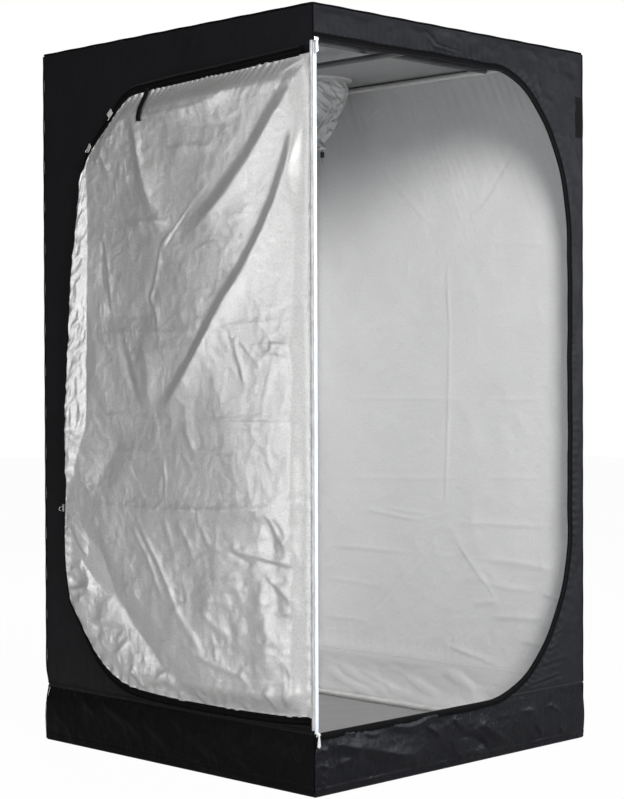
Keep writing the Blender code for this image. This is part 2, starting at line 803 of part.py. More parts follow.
def build_leaf():
    """One sheet with its folds, both faces split along the same diagonals, and the zip tape round it."""
    grid = leaf_grid()
    border = leaf_border(grid)
    closed_border = border + [border[0]]
    half = cloth_thickness / 2
    rows = leaf_rows + 1
    places = [place for column in grid for place in column]

    def height_at(place):
        return leaf_stand(place[0]) + leaf_relief(place, closed_border)

    heights = [height_at(place) for place in places]
    count = len(places)
    points = []
    for side in (half, -half):
        points += [leaf_world(*place, out + side) for place, out in zip(places, heights)]
    faces = []
    for column in range(leaf_columns):
        for row in range(leaf_rows):
            a = column * rows + row
            b, c, d = a + rows, a + rows + 1, a + 1
            middle = tuple(sum(places[n][k] for n in (a, b, c, d)) / 4 for k in (0, 1))
            wanted = height_at(middle)
            rising = abs((heights[a] + heights[c]) / 2 - wanted)
            falling = abs((heights[b] + heights[d]) / 2 - wanted)
            halves = ((a, b, c), (a, c, d)) if rising <= falling else ((a, b, d), (b, c, d))
            for face in halves:
                faces.append(face)
                faces.append(tuple(n + count for n in reversed(face)))
    rim = [column * rows for column in range(leaf_columns + 1)]
    rim += [leaf_columns * rows + row for row in range(1, rows)]
    rim += [column * rows + leaf_rows for column in range(leaf_columns - 1, -1, -1)]
    rim += [row for row in range(leaf_rows - 1, 0, -1)]
    for here, there in zip(rim, rim[1:] + rim[:1]):
        faces.append((here, there, there + count, here + count))
    leaf = add_piece("door_leaf", mesh_of("door_leaf", points, faces), "silver_cloth")
    stations = border_stations(tape_border(border))
    tape = add_piece("door_zip", leaf_tape_mesh(stations), "webbing_black")
    hinge = axis_at("door_hinge", (hinge_x, hinge_y, leaf_foot))
    hang_on(hinge, [leaf, tape])
    return hinge, stations, closed_border


def border_stations(border):
    """At each border place: its spot, the outward direction across the tape, and its lie.

    The tape lies flat along the leaf's top and foot and turns in towards the wall at the far side.
    """
    stations = []
    spots = [leaf_world(across, height, leaf_stand(across)) for across, height in border]
    for at, (across, height) in enumerate(border):
        before = border[max(at - 1, 0)]
        after = border[min(at + 1, len(border) - 1)]
        run = Vector((after[0] - before[0], after[1] - before[1])).normalized()
        if at in (0, len(border) - 1):
            run = Vector((1 if at == 0 else -1, 0))
        outward = Vector((-run.y, run.x))
        side_share = smooth_step((across / leaf_width - leaf_lift_start_share) / (1 - leaf_lift_start_share))
        turn = radians(leaf_tape_turn_degrees) * side_share
        flat = Vector((0, outward.x, outward.y))
        wide = flat * cos(turn) + Vector((1, 0, 0)) * sin(turn)
        proud = flat * sin(turn) - Vector((1, 0, 0)) * cos(turn)
        first = (seam_gap + webbing_thickness / 2 * sin(turn)) / cos(turn)
        along = (spots[min(at + 1, len(border) - 1)] - spots[max(at - 1, 0)]).normalized()
        stations.append({"spot": spots[at], "wide": wide, "proud": proud, "first": first, "along": along})
    return stations


def leaf_tape_mesh(stations):
    half = webbing_thickness / 2
    rings = []
    begin = next(at for at, station in enumerate(stations) if station["spot"].y > hinge_y + leaf_tape_start)
    for station in stations[begin:]:
        section = (
            (station["first"], -half),
            (leaf_tape_width, -half),
            (leaf_tape_width, half + chain_height),
            (leaf_tape_width - chain_width, half + chain_height),
            (leaf_tape_width - chain_width, half),
            (station["first"], half),
        )
        rings.append([station["spot"] + station["wide"] * w + station["proud"] * p for w, p in section])
    return loft("door_zip", rings)


def clip_section():
    """A spring clip's section: inward from its back, and height over the tape's middle."""
    jaw = webbing_thickness / 2 + clip_grip_gap
    ledge = (chain_width + clip_wall * 2, webbing_thickness / 2 + chain_height + clip_grip_gap)
    outer = [(0, clip_back), (clip_depth, jaw + clip_wall)]
    inner = [(clip_depth, jaw), ledge, (clip_wall, clip_back - clip_wall)]
    top = outer + inner
    bottom = [(inward, -height) for inward, height in reversed(top)]
    return top + bottom


def build_clips(hinge, stations):
    """Spring clips that grip the leaf's tape, each with a wire lever on its outer jaw."""
    for number, (x_share, z_share) in enumerate(clip_places_shares, 1):
        target = leaf_world(x_share * leaf_width, leaf_foot + z_share * leaf_height, 0)
        station = min(stations, key=lambda s: (s["spot"].yz - target.yz).length)
        along, wide, proud = station["along"], station["wide"], station["proud"]
        back = station["spot"] + wide * (leaf_tape_width + clip_wall + seam_gap)
        rings = []
        for end in (-clip_width / 2, clip_width / 2):
            rings.append([back + along * end - wide * inward + proud * up for inward, up in clip_section()])
        clip = add_piece(f"door_clip_{number}", loft("clip", rings), "clip_black")
        hang_on(hinge, [clip])
        jaw_height = webbing_thickness / 2 + clip_grip_gap + clip_wall
        pivot = back - wide * (clip_depth + lever_wire + seam_gap) + proud * jaw_height
        rise = radians(lever_rise_degrees)
        reach = proud * sin(rise) - wide * cos(rise)
        wide_end = clip_width / 2 - lever_wire
        path_shares = ((-1, 0), (-0.62, 0.5), (-0.5, 1), (0.5, 1), (0.62, 0.5), (1, 0))
        points = []
        for side, out in path_shares:
            points.append(pivot + along * (wide_end * side) + reach * (lever_length * out))
        wire = tube_along("lever", points, lever_wire, cord_sides)
        lever = add_piece(f"clip_lever_{number}", wire, "zip_metal")
        nest_on(axis_at(f"clip_lever_{number}_axis", pivot), [lever], [hinge])


def build_tie(hinge, border):
    """The strap that ties the rolled door up: sewn to the zip tape, hanging free over the leaf."""
    across = tie_place_share * leaf_width
    edge = leaf_foot + leaf_height * curve_through(leaf_top_shares, tie_place_share)
    cell = leaf_width / leaf_columns
    rise = 0
    steps = 8
    for step in range(steps + 1):
        for side in (-cell, 0, cell):
            place = (across + side, edge - (tie_length + cell) * step / steps)
            rise = max(rise, leaf_stand(place[0]) + leaf_relief(place, border))
    back = leaf_stand(across + tie_width / 2) + webbing_thickness / 2 + seam_gap
    low = rise + cloth_thickness / 2 + seam_gap
    front = low + tie_thickness
    seat = edge + tie_thickness
    top = seat + tie_seat
    foot = top - tie_length
    section = ((back, seat), (back, top), (front, top), (front, foot), (low, foot), (low, seat))
    outline = [(hinge_x - out, height) for out, height in section]
    middle = hinge_y + across
    mesh = prism("door_tie", outline, 1, middle - tie_width / 2, middle + tie_width / 2)
    tie = add_piece("door_tie", mesh, "webbing_black")
    nest_on(axis_at("door_tie_axis", (hinge_x - back, middle, top)), [tie], [hinge])


def build_tag():
    face = -half_depth - seam_gap
    low = (half_width - tag_width, face - tag_thickness, tag_foot)
    high = (half_width, face, tag_foot + tag_height)
    add_piece("side_tag", box("side_tag", low, high), "webbing_black")


def build_tray():
    reach_x = frame_x - hub_half - tray_clearance
    reach_y = frame_y - hub_half - tray_clearance
    low = cloth_thickness + seam_gap
    tray = box("floor_tray", (-reach_x, -reach_y, low), (reach_x, reach_y, low + tray_thickness))
    add_piece("floor_tray", tray, "tray_grey")


def build_duct_sleeve():
    """A cloth sleeve that hangs from the roof's port, drawn in by a cord above its mouth."""
    top = tent_height - cloth_thickness - seam_gap
    neck = top - sleeve_drop + sleeve_mouth_height
    wall = webbing_thickness
    rows = 6
    rings = []
    for step in range(port_sides):
        angle = 2 * pi * (step + 0.5) / port_sides
        lobe = cos(sleeve_lobes * angle)
        outer = [(port_radius + sleeve_flange, top), (port_radius + sleeve_flange, top - wall)]
        inner = [(port_radius - wall, top)]
        for row in range(1, rows + 1):
            share = row / rows
            radius = port_radius + (sleeve_neck_radius - port_radius) * share
            radius += sleeve_lobe_depth * lobe * sin(pi * share)
            height = top - wall + (neck - top + wall) * share
            outer.append((radius + wall, height))
            inner.append((radius, height))
        outer.insert(2, (port_radius + wall, top - wall))
        bottom = neck - sleeve_mouth_height
        outer.append((sleeve_mouth_radius + wall, bottom))
        inner.append((sleeve_mouth_radius, bottom))
        profile = outer + list(reversed(inner))
        rings.append([on_circle(radius, angle, height) for radius, height in profile])
    sleeve = placed(loft("duct_sleeve", rings, joined=True), move=(port_x, port_y, 0))
    add_piece("duct_sleeve", sleeve, "silver_cloth")
    build_drawcord(neck)


def build_drawcord(neck):
    """One cord laid round the sleeve's neck, its two tails hanging through the cord lock."""
    ring_radius = sleeve_neck_radius + webbing_thickness * 2 + cord_radius
    tail_out = sleeve_mouth_radius + webbing_thickness + cord_stand + cord_radius
    spread = cord_radius + cord_gap / 2
    open_angle = 2 * spread / ring_radius
    start = (tail_out, -spread)
    steps = 20
    points = []
    for drop_share in (1, 0.5, 0.25):
        points.append(Vector((start[0], start[1], neck - cord_tail * drop_share)))
    for step in range(steps + 1):
        angle = -open_angle / 2 - (2 * pi - open_angle) * step / steps
        points.append(on_circle(ring_radius, angle, neck))
    for drop_share in (0.25, 0.5, 1):
        points.append(Vector((start[0], -start[1], neck - cord_tail * drop_share)))
    cord = tube_along("duct_drawcord", points, cord_radius, cord_sides)
    placed(cord, move=(port_x, port_y, 0))
    add_piece("duct_drawcord", cord, "cord_grey")
    centre = (port_x + tail_out, port_y, neck - lock_drop)
    lock_mesh = rod("duct_cord_lock", lock_radius, -lock_height / 2, lock_height / 2, pole_sides)
    lock = add_piece("duct_cord_lock", placed(lock_mesh, move=centre), "lock_black")
    bore_x = cord_radius + seam_gap
    bore_y = spread + cord_radius + seam_gap
    low = (centre[0] - bore_x, centre[1] - bore_y, centre[2] - lock_height)
    high = (centre[0] + bore_x, centre[1] + bore_y, centre[2] + lock_height)
    combine(lock, box("lock_bore", low, high), "DIFFERENCE", "lock_bore")
    hang_on(axis_at("cord_lock_axis", centre), [lock])


def build_rear_vent():
    """A mesh panel inside the window, and a flap that hangs over it outside."""
    inside = half_depth - cloth_thickness - seam_gap
    width = vent_width + vent_margin * 2
    height = vent_height + vent_margin * 2
    foot = vent_foot - vent_margin
    across = lattice_lines(mesh_columns, vent_margin, vent_width, -width / 2)
    up = lattice_lines(mesh_rows, vent_margin, vent_height, foot)
    points = []
    for depth in (inside - webbing_thickness, inside):
        for x in across:
            for z in up:
                points.append(Vector((x, depth, z)))
    rows = len(up)
    layer = len(across) * rows

    def is_open(column, row):
        inside_grid = 0 <= column < len(across) - 1 and 0 <= row < rows - 1
        return not inside_grid or (column % 2 == 1 and row % 2 == 1)

    faces = []
    for column in range(len(across) - 1):
        for row in range(rows - 1):
            if is_open(column, row):
                continue
            a = column * rows + row
            quad = (a, a + rows, a + rows + 1, a + 1)
            faces.append(quad)
            faces.append(tuple(n + layer for n in reversed(quad)))
            neighbours = ((0, -1), (1, 0), (0, 1), (-1, 0))
            for (step_x, step_z), here, there in zip(neighbours, quad, quad[1:] + quad[:1]):
                if is_open(column + step_x, row + step_z):
                    faces.append((here, there, there + layer, here + layer))
    add_piece("rear_vent_mesh", mesh_of("rear_vent_mesh", points, faces), "mesh_black")
    face = half_depth + swing_gap
    half = vent_width / 2 + flap_margin
    top = vent_foot + vent_height + flap_margin
    low = (-half, face, vent_foot - flap_margin)
    high = (half, face + webbing_thickness, top)
    flap = add_piece("rear_vent_flap", box("rear_vent_flap", low, high), "cover_black")
    axis = (0, face + webbing_thickness / 2, top - webbing_thickness / 2)
    hang_on(axis_at("rear_vent_flap_axis", axis), [flap])


def lattice_lines(count, margin, span, start):
    """Grid lines with bars between count openings, and a margin at each end."""
    cell = span / count
    bar = cell * mesh_bar_share
    lines = [start]
    for index in range(count):
        lines.append(start + margin + cell * index + bar / 2)
        lines.append(start + margin + cell * (index + 1) - bar / 2)
    lines.append(start + margin * 2 + span)
    return lines


def build_tent():
    clear_scene()
    build_frame()
    build_roof_bars()
    build_cover()
    build_front_wall()
    build_doorway_zip()
    build_corner_piping()
    hinge, stations, border = build_leaf()
    build_clips(hinge, stations)
    build_tie(hinge, border)
    build_tag()
    build_tray()
    build_duct_sleeve()
    build_rear_vent()


build_tent()
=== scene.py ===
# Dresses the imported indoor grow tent: cloth, zips, seams, tubes and fittings. Metres, +Z up.
import json
import math

import bmesh
import bpy
import numpy as np
from mathutils import Matrix, Vector
from mathutils.bvhtree import BVHTree

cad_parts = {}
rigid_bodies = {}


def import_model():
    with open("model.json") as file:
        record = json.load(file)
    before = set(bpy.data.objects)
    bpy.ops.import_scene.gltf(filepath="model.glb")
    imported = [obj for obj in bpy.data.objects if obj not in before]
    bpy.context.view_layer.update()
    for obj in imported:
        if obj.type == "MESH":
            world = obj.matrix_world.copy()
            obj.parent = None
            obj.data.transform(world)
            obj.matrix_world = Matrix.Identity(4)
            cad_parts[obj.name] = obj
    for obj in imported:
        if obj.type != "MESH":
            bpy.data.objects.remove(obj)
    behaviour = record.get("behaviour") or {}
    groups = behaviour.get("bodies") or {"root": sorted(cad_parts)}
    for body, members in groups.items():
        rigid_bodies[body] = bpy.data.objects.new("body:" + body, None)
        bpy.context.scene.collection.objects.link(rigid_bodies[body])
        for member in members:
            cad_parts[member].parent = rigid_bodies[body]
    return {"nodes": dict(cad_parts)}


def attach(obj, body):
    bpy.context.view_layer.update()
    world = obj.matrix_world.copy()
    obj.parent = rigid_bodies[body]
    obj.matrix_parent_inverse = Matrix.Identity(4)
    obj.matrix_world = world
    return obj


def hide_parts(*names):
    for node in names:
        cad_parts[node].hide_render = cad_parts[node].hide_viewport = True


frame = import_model()
scene = bpy.context.scene
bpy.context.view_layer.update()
print("stage: frame loaded,", len(frame["nodes"]), "nodes")

view = {
    "place": (-3.5463, -3.5386, 0.9659),
    "turn": -45.008,      # degrees about +Z
    "rise": 0.828,        # degrees above level
    "roll": -0.187,
    "lens": 85.75,
    "sensor": 36,
    "clipEnd": 100,
}
studio = {
    "worldStrength": 0.12,
    "lamps": {            # place, aim, size, watts, colour
        "key": ((-2.45, -4.45, 2.95), (-0.1, 0.0, 0.8), 1.6, 320, (1.0, 0.99, 0.98)),
        "nearFill": ((-4.4, -2.4, 1.4), (-0.3, 0.0, 0.8), 2.4, 12, (1.0, 1.0, 1.0)),
        "leftSoft": ((-4.5, 1.2, 1.3), (-0.5, 0.0, 0.8), 1.3, 47, (1.0, 1.0, 1.0)),
        "sheen": ((3.2, -4.2, 1.5), (0.2, -0.5, 0.9), 1.2, 200, (0.88, 0.93, 1.0)),
        "rear": ((2.4, 3.6, 3.0), (0.0, 0.0, 0.9), 2.6, 110, (1.0, 1.0, 1.0)),
    },
    "floorReach": 14.0,
    "floorDrop": 0.0006,
    "floorGrey": (0.62, 0.62, 0.62, 1),
    "floorRoughness": 0.9,
    "floorWhite": 0.975,   # share of plain white that the camera sees in the floor
}
looks = {}


def addNode(tree, kind, inputs=(), **settings):
    # a node with its settings; each input is a plain value, or the socket that feeds it
    node = tree.nodes.new(kind)
    for label, value in settings.items():
        setattr(node, label, value)
    for label, value in dict(inputs).items():
        if isinstance(value, bpy.types.NodeSocket):
            tree.links.new(value, node.inputs[label])
        else:
            node.inputs[label].default_value = value
    return node


def sums(tree, operation, *values):
    # one Math node; each value is a number or a socket
    return addNode(tree, "ShaderNodeMath", dict(enumerate(values)), operation=operation).outputs[0]


def newLook(name, roughness, metallic=0.0, specular=0.5, **more):
    made = looks[name] = bpy.data.materials.new(name)
    made.use_nodes = True
    shader = made.node_tree.nodes["Principled BSDF"]
    values = {"Roughness": roughness, "Metallic": metallic, "Specular IOR Level": specular, **more}
    for label, value in values.items():
        shader.inputs[label.replace("_", " ")].default_value = value
    return made.node_tree, shader


def makeCamera():
    cameraData = bpy.data.cameras.new("photoCamera")
    cameraData.lens = view["lens"]
    cameraData.sensor_width = view["sensor"]
    cameraData.clip_end = view["clipEnd"]
    turn, rise, roll = (math.radians(view[key]) for key in ("turn", "rise", "roll"))
    back = Vector((math.sin(turn) * math.cos(rise), -math.cos(turn) * math.cos(rise), math.sin(rise)))
    right = Vector((math.cos(turn), math.sin(turn), 0))
    up = back.cross(right)
    rolledRight = right * math.cos(roll) + up * math.sin(roll)
    rolledUp = up * math.cos(roll) - right * math.sin(roll)
    axes = Matrix((rolledRight, rolledUp, back)).transposed()
    camera = scene.camera = bpy.data.objects.new("photoCamera", cameraData)
    camera.matrix_world = Matrix.Translation(view["place"]) @ axes.to_4x4()
    scene.collection.objects.link(camera)


def seenDirectly(tree, share=1.0):
    # that share for rays from the camera and through glass, 0 for all other light
    rays = addNode(tree, "ShaderNodeLightPath").outputs
    direct = sums(tree, "MAXIMUM", rays["Is Camera Ray"], rays["Is Transmission Ray"])
    return sums(tree, "MULTIPLY", direct, share)


def mixTo(tree, end, share, first, second):
    mix = addNode(tree, "ShaderNodeMixShader", {0: share, 1: first.outputs[0], 2: second.outputs[0]})
    tree.links.new(mix.outputs[0], tree.nodes[end].inputs["Surface"])


def makeStage():
    world = scene.world = bpy.data.worlds.new("studio")
    world.use_nodes = True
    tree = world.node_tree
    dim = tree.nodes["Background"]
    dim.inputs["Color"].default_value = (1, 1, 1, 1)
    dim.inputs["Strength"].default_value = studio["worldStrength"]
    white = addNode(tree, "ShaderNodeBackground", {"Color": (1, 1, 1, 1)})
    mixTo(tree, "World Output", seenDirectly(tree), dim, white)
    for name, (place, aim, size, watts, colour) in studio["lamps"].items():
        lampData = bpy.data.lights.new(name, "AREA")
        lampData.shape = "DISK"
        lampData.size, lampData.energy, lampData.color = size, watts, colour
        lamp = bpy.data.objects.new(name, lampData)
        lamp.location = place
        lamp.rotation_euler = (Vector(aim) - Vector(place)).to_track_quat("-Z", "Y").to_euler()
        scene.collection.objects.link(lamp)
    tree, shader = newLook("studioFloor", studio["floorRoughness"], Base_Color=studio["floorGrey"])
    glow = addNode(tree, "ShaderNodeEmission")
    mixTo(tree, "Material Output", seenDirectly(tree, studio["floorWhite"]), shader, glow)
    reach, low = studio["floorReach"], -studio["floorDrop"]
    corners = [(x * reach, y * reach, low) for x, y in ((-1, -1), (1, -1), (1, 1), (-1, 1))]
    mesh = bpy.data.meshes.new("studioFloor")
    mesh.from_pydata(corners, [], [(0, 1, 2, 3)])
    mesh.materials.append(looks.pop("studioFloor"))
    floor = bpy.data.objects.new("studioFloor", mesh)
    scene.collection.objects.link(floor)


scene.view_settings.view_transform = "Standard"
makeCamera()
makeStage()
print("stage: camera, lamps and floor")


# Shader groups: each takes a vector and some numbers, and puts out heights or masks only.
def startGroup(name, **inputs):
    group = bpy.data.node_groups.new(name, "ShaderNodeTree")
    group.interface.new_socket("Vector", in_out="INPUT", socket_type="NodeSocketVector")
    for label, value in inputs.items():
        socket = group.interface.new_socket(label, in_out="INPUT", socket_type="NodeSocketFloat")
        socket.default_value = value
    return group, addNode(group, "NodeGroupInput").outputs


def endGroup(group, **results):
    for label in results:
        group.interface.new_socket(label, in_out="OUTPUT", socket_type="NodeSocketFloat")
    addNode(group, "NodeGroupOutput", results)
    return group


def noiseOf(tree, vector, scale, detail=2.0, roughness=0.5, distortion=0.0):
    inputs = {"Vector": vector, "Scale": scale, "Detail": detail, "Roughness": roughness,
              "Distortion": distortion}
    return addNode(tree, "ShaderNodeTexNoise", inputs).outputs["Fac"]


finish = {
    "weaveDepth": 0.00012,
    "weaveStrength": 0.6,
    "ribDepth": 0.00025,
    "scuffDepth": 0.00004,
    "ridgeHighlightShare": 0.35,
    "speckShare": 0.6,
    "mottleScale": 5.0,
    "yarnScale": 190.0,
    "glossScale": 11.0,
    "glossSpread": (0.88, 1.12),
    "tapeMottle": (40.0, 0.75, 1.3),     # scale, low, high
    "hardMottle": (0.3, 0.9, 1.08),      # share of the marks' scale, low, high
    "hardGloss": (0.7, 0.55),            # share of the roughness that scuffs change, share that stays
    "coatRoughness": 0.2,
}


def makeWeaveGroup():
    group, given = startGroup("plainWeave", Threads=1400.0)
    split = addNode(group, "ShaderNodeSeparateXYZ", {0: given["Vector"]}).outputs
    turns = sums(group, "MULTIPLY", given["Threads"], math.pi)
    waveX, waveY = (sums(group, "SINE", sums(group, "MULTIPLY", split[k], turns)) for k in (0, 1))
    over = sums(group, "GREATER_THAN", sums(group, "MULTIPLY", waveX, waveY), 0.0)
    riseX = sums(group, "MULTIPLY", sums(group, "ABSOLUTE", waveX), over)
    riseY = sums(group, "MULTIPLY", sums(group, "ABSOLUTE", waveY), sums(group, "SUBTRACT", 1.0, over))
    return endGroup(group, Height=sums(group, "ADD", riseX, riseY))


def makeCrinkleGroup():
    # fine pressed crinkles of coated cloth: folded noise, so the ridges are sharp; Ridge masks the crests for a
    # painted highlight
    group, given = startGroup("crinkle", Scale=30.0)
    first = noiseOf(group, given["Vector"], given["Scale"], 2.0, 0.55, 0.6)
    folded = sums(group, "ABSOLUTE", sums(group, "SUBTRACT", first, 0.5))
    ridge = sums(group, "SUBTRACT", 1.0, sums(group, "MULTIPLY", folded, 4.0))
    small = noiseOf(group, given["Vector"], sums(group, "MULTIPLY", given["Scale"], 3.3), 3.0)
    height = sums(group, "ADD", sums(group, "MULTIPLY", ridge, 0.7), sums(group, "MULTIPLY", small, 0.5))
    return endGroup(group, Height=height, Ridge=sums(group, "POWER", sums(group, "MAXIMUM", ridge, 0.0), 6.0))


def makeMottleGroup():
    # slow change from Low to High over the surface
    group, given = startGroup("mottle", Scale=4.0, Low=0.9, High=1.1)
    spread = addNode(group, "ShaderNodeMapRange", {
        "Value": noiseOf(group, given["Vector"], given["Scale"], 4.0, 0.6), "From Min": 0.3, "From Max": 0.7,
        "To Min": given["Low"], "To Max": given["High"]})
    return endGroup(group, Value=spread.outputs["Result"])


def makeWearGroup():
    # handling marks on tubes and fittings: long scuffs and small specks
    group, given = startGroup("wear", Scale=60.0)
    stretch = addNode(group, "ShaderNodeMapping", {"Scale": (1.0, 1.0, 0.12), "Vector": given["Vector"]})
    scuff = noiseOf(group, stretch.outputs["Vector"], given["Scale"], 5.0, 0.65)
    speck = noiseOf(group, given["Vector"], sums(group, "MULTIPLY", given["Scale"], 6.0), 2.0)
    return endGroup(group, Scuff=sums(group, "SMOOTH_MIN", sums(group, "MULTIPLY", scuff, 1.2), 1.0, 0.2),
                    Speck=sums(group, "GREATER_THAN", speck, 0.68))


weaveGroup, crinkleGroup = makeWeaveGroup(), makeCrinkleGroup()
mottleGroup, wearGroup = makeMottleGroup(), makeWearGroup()


def useGroup(tree, group, place, **values):
    return addNode(tree, "ShaderNodeGroup", {"Vector": place, **values}, node_tree=group).outputs


def mottled(tree, place, scale, low, high):
    return useGroup(tree, mottleGroup, place, Scale=scale, Low=low, High=high)["Value"]


def tinted(tree, colour, value):
    # the colour times a mask's value
    return addNode(tree, "ShaderNodeVectorMath", {0: colour, "Scale": value}, operation="SCALE").outputs[0]


def blended(tree, shade, colour, share):
    inputs = {"Factor": share, "A": shade, "B": (*colour, 1)}
    return addNode(tree, "ShaderNodeMix", inputs, data_type="RGBA").outputs["Result"]


def bumped(tree, shader, height, distance, strength=1.0):
    inputs = {"Strength": strength, "Distance": distance, "Height": height}
    for link in shader.inputs["Normal"].links:
        inputs["Normal"] = link.from_socket
    tree.links.new(addNode(tree, "ShaderNodeBump", inputs).outputs[0], shader.inputs["Normal"])


def clothLook(name, colour, roughness, threads, metallic, specular, crinkle, crinkleScale, spread,
              grain=0.06, ridgeHighlightColour=None):
    tree, shader = newLook(name, roughness, metallic, specular)
    cut = addNode(tree, "ShaderNodeTexCoord").outputs["UV"]
    mottle = mottled(tree, cut, finish["mottleScale"], *spread)
    wrinkles = useGroup(tree, crinkleGroup, cut, Scale=crinkleScale)
    weave = useGroup(tree, weaveGroup, cut, Threads=threads)
    yarn = mottled(tree, cut, finish["yarnScale"], 1 - grain, 1 + grain)
    shade = tinted(tree, colour, sums(tree, "MULTIPLY", mottle, yarn))
    # where given, the crinkles' crests are painted lighter: a painted highlight
    if ridgeHighlightColour:
        shade = blended(tree, shade, ridgeHighlightColour, sums(tree, "MULTIPLY", wrinkles["Ridge"], finish["ridgeHighlightShare"]))
    tree.links.new(shade, shader.inputs["Base Color"])
    gloss = mottled(tree, cut, finish["glossScale"], *(roughness * share for share in finish["glossSpread"]))
    tree.links.new(gloss, shader.inputs["Roughness"])
    bumped(tree, shader, weave["Height"], finish["weaveDepth"], finish["weaveStrength"])
    bumped(tree, shader, wrinkles["Height"], crinkle)


def tapeLook(name, colour, roughness, ribs, specular=0.25):
    # webbing: ribs across the run, from the piece's own UV map
    tree, shader = newLook(name, roughness, 0.0, specular)
    cut = addNode(tree, "ShaderNodeTexCoord").outputs["UV"]
    weave = useGroup(tree, weaveGroup, cut, Threads=ribs)
    shade = tinted(tree, colour, mottled(tree, cut, *finish["tapeMottle"]))
    tree.links.new(shade, shader.inputs["Base Color"])
    bumped(tree, shader, weave["Height"], finish["ribDepth"])


def hardLook(name, colour, worn, roughness, metallic, specular, scale, coat=0.0):
    tree, shader = newLook(name, roughness, metallic, specular, Coat_Weight=coat,
                           Coat_Roughness=finish["coatRoughness"])
    place = addNode(tree, "ShaderNodeTexCoord").outputs["Object"]
    wear = useGroup(tree, wearGroup, place, Scale=scale)
    share, low, high = finish["hardMottle"]
    shade = tinted(tree, colour, mottled(tree, place, scale * share, low, high))
    shade = blended(tree, shade, worn, sums(tree, "MULTIPLY", wear["Speck"], finish["speckShare"]))
    tree.links.new(shade, shader.inputs["Base Color"])
    gloss = sums(tree, "MULTIPLY_ADD", wear["Scuff"], *(roughness * share for share in finish["hardGloss"]))
    tree.links.new(gloss, shader.inputs["Roughness"])
    bumped(tree, shader, wear["Scuff"], finish["scuffDepth"])


clothLooks = {   # colour, roughness, threads, metallic, specular, crinkle's depth and scale, mottle, grain, and the colour of a painted highlight on the crinkles' crests
    "coverBlack": ((0.0042, 0.0042, 0.0054), 0.48, 1100, 0.0, 0.12, 0.0005, 14.0, (0.85, 1.2)),
    "skirtBlack": ((0.0026, 0.0026, 0.0040), 0.29, 900, 0.0, 0.105, 0.0009, 20.0, (0.8, 1.25)),
    # the side and rear skirts: the same cloth painted darker and duller, painted shade on the sides away from the
    # light
    "skirtDeep": ((0.0018, 0.0018, 0.0022), 0.40, 900, 0.0, 0.055, 0.0009, 20.0, (0.8, 1.25)),
    "coverSilver": ((0.66, 0.66, 0.66), 0.50, 1300, 0.08, 0.3, 0.0006, 16.0, (0.97, 1.03)),
    "leafSilver": ((0.585, 0.585, 0.585), 0.39, 1300, 0.76, 0.35, 0.0006, 18.0, (0.98, 1.02), 0.11),
    # the roof's silver is the walls' silver cloth painted darker: painted shade under the roof
    "shadedRoofSilver": ((0.31, 0.31, 0.31), 0.50, 1300, 0.08, 0.3, 0.0006, 16.0, (0.97, 1.03)),
    "sleeveSilver": ((0.60, 0.60, 0.60), 0.42, 1300, 0.25, 0.3, 0.0014, 34.0, (0.85, 1.1), 0.06,
                     (0.7, 0.7, 0.7)),
    "trayGrey": ((0.28, 0.28, 0.285), 0.5, 700, 0.0, 0.4, 0.0008, 9.0, (0.94, 1.05)),
    "meshBlack": ((0.012, 0.012, 0.012), 0.75, 900, 0.0, 0.3, 0.0003, 22.0, (0.9, 1.1)),
}
tapeLooks = {    # colour, roughness, ribs, specular
    "webbingBlack": ((0.005, 0.005, 0.0056), 0.7, 650, 0.06),
    "bindingBlack": ((0.003, 0.003, 0.0034), 0.8, 900, 0.03),
    "threadBlack": ((0.010, 0.010, 0.010), 0.6, 2500),
    "threadGrey": ((0.16, 0.16, 0.165), 0.6, 2500),
    "cordSilver": ((0.36, 0.36, 0.37), 0.5, 1100),
    "cordGrey": ((0.30, 0.30, 0.31), 0.7, 1500),
}
hardLooks = {    # colour, colour where worn, roughness, metallic, specular, scale of the marks, coat
    "coilBlack": ((0.006, 0.006, 0.006), (0.02, 0.02, 0.02), 0.6, 0.0, 0.12, 200.0),
    "polePaint": ((0.60, 0.63, 0.68), (0.50, 0.51, 0.53), 0.30, 0.0, 0.45, 60.0, 0.35),
    "bareSteel": ((0.62, 0.62, 0.61), (0.42, 0.41, 0.40), 0.34, 0.35, 0.5, 45.0),
    # the roof bars: the bare steel painted much darker, painted shade under the roof
    "barSteel": ((0.13, 0.13, 0.135), (0.24, 0.24, 0.24), 0.40, 0.7, 0.5, 60.0),
    "connectorSteel": ((0.48, 0.48, 0.49), (0.25, 0.25, 0.25), 0.36, 1.0, 0.5, 80.0),
    "zipMetal": ((0.74, 0.74, 0.72), (0.50, 0.50, 0.48), 0.26, 0.7, 0.5, 180.0),
    "clipBlack": ((0.46, 0.45, 0.43), (0.62, 0.61, 0.59), 0.34, 0.25, 0.5, 160.0),
    "lockBlack": ((0.016, 0.016, 0.016), (0.05, 0.05, 0.05), 0.45, 0.0, 0.5, 160.0),
}
for makeLook, rows in ((clothLook, clothLooks), (tapeLook, tapeLooks), (hardLook, hardLooks)):
    for name, row in rows.items():
        makeLook(name, *row)
print("stage: materials,", len(looks))


# Shape helpers. Places are in metres; a grid is an array of columns by rows by xyz.
halfSide = 0.5
tentTop = 1.8
skirtTop = 0.145
clothThick = 0.002


def smoothStep(value):
    value = np.clip(value, 0, 1)
    return value * value * (3 - 2 * value)


def lattice(i, j, seed):
    n = (i * 374761393 + j * 668265263 + seed * 1274126177) & 0x7FFFFFFF
    n = ((n ^ (n >> 13)) * 1103515245) & 0x7FFFFFFF
    return ((n ^ (n >> 16)) & 0xFFFF) / 65535


def noise2(x, y, seed):
    i, j = np.floor(x).astype(np.int64), np.floor(y).astype(np.int64)
    u, v = smoothStep(x - i), smoothStep(y - j)
    low = lattice(i, j, seed) * (1 - u) + lattice(i + 1, j, seed) * u
    high = lattice(i, j + 1, seed) * (1 - u) + lattice(i + 1, j + 1, seed) * u
    return low * (1 - v) + high * v


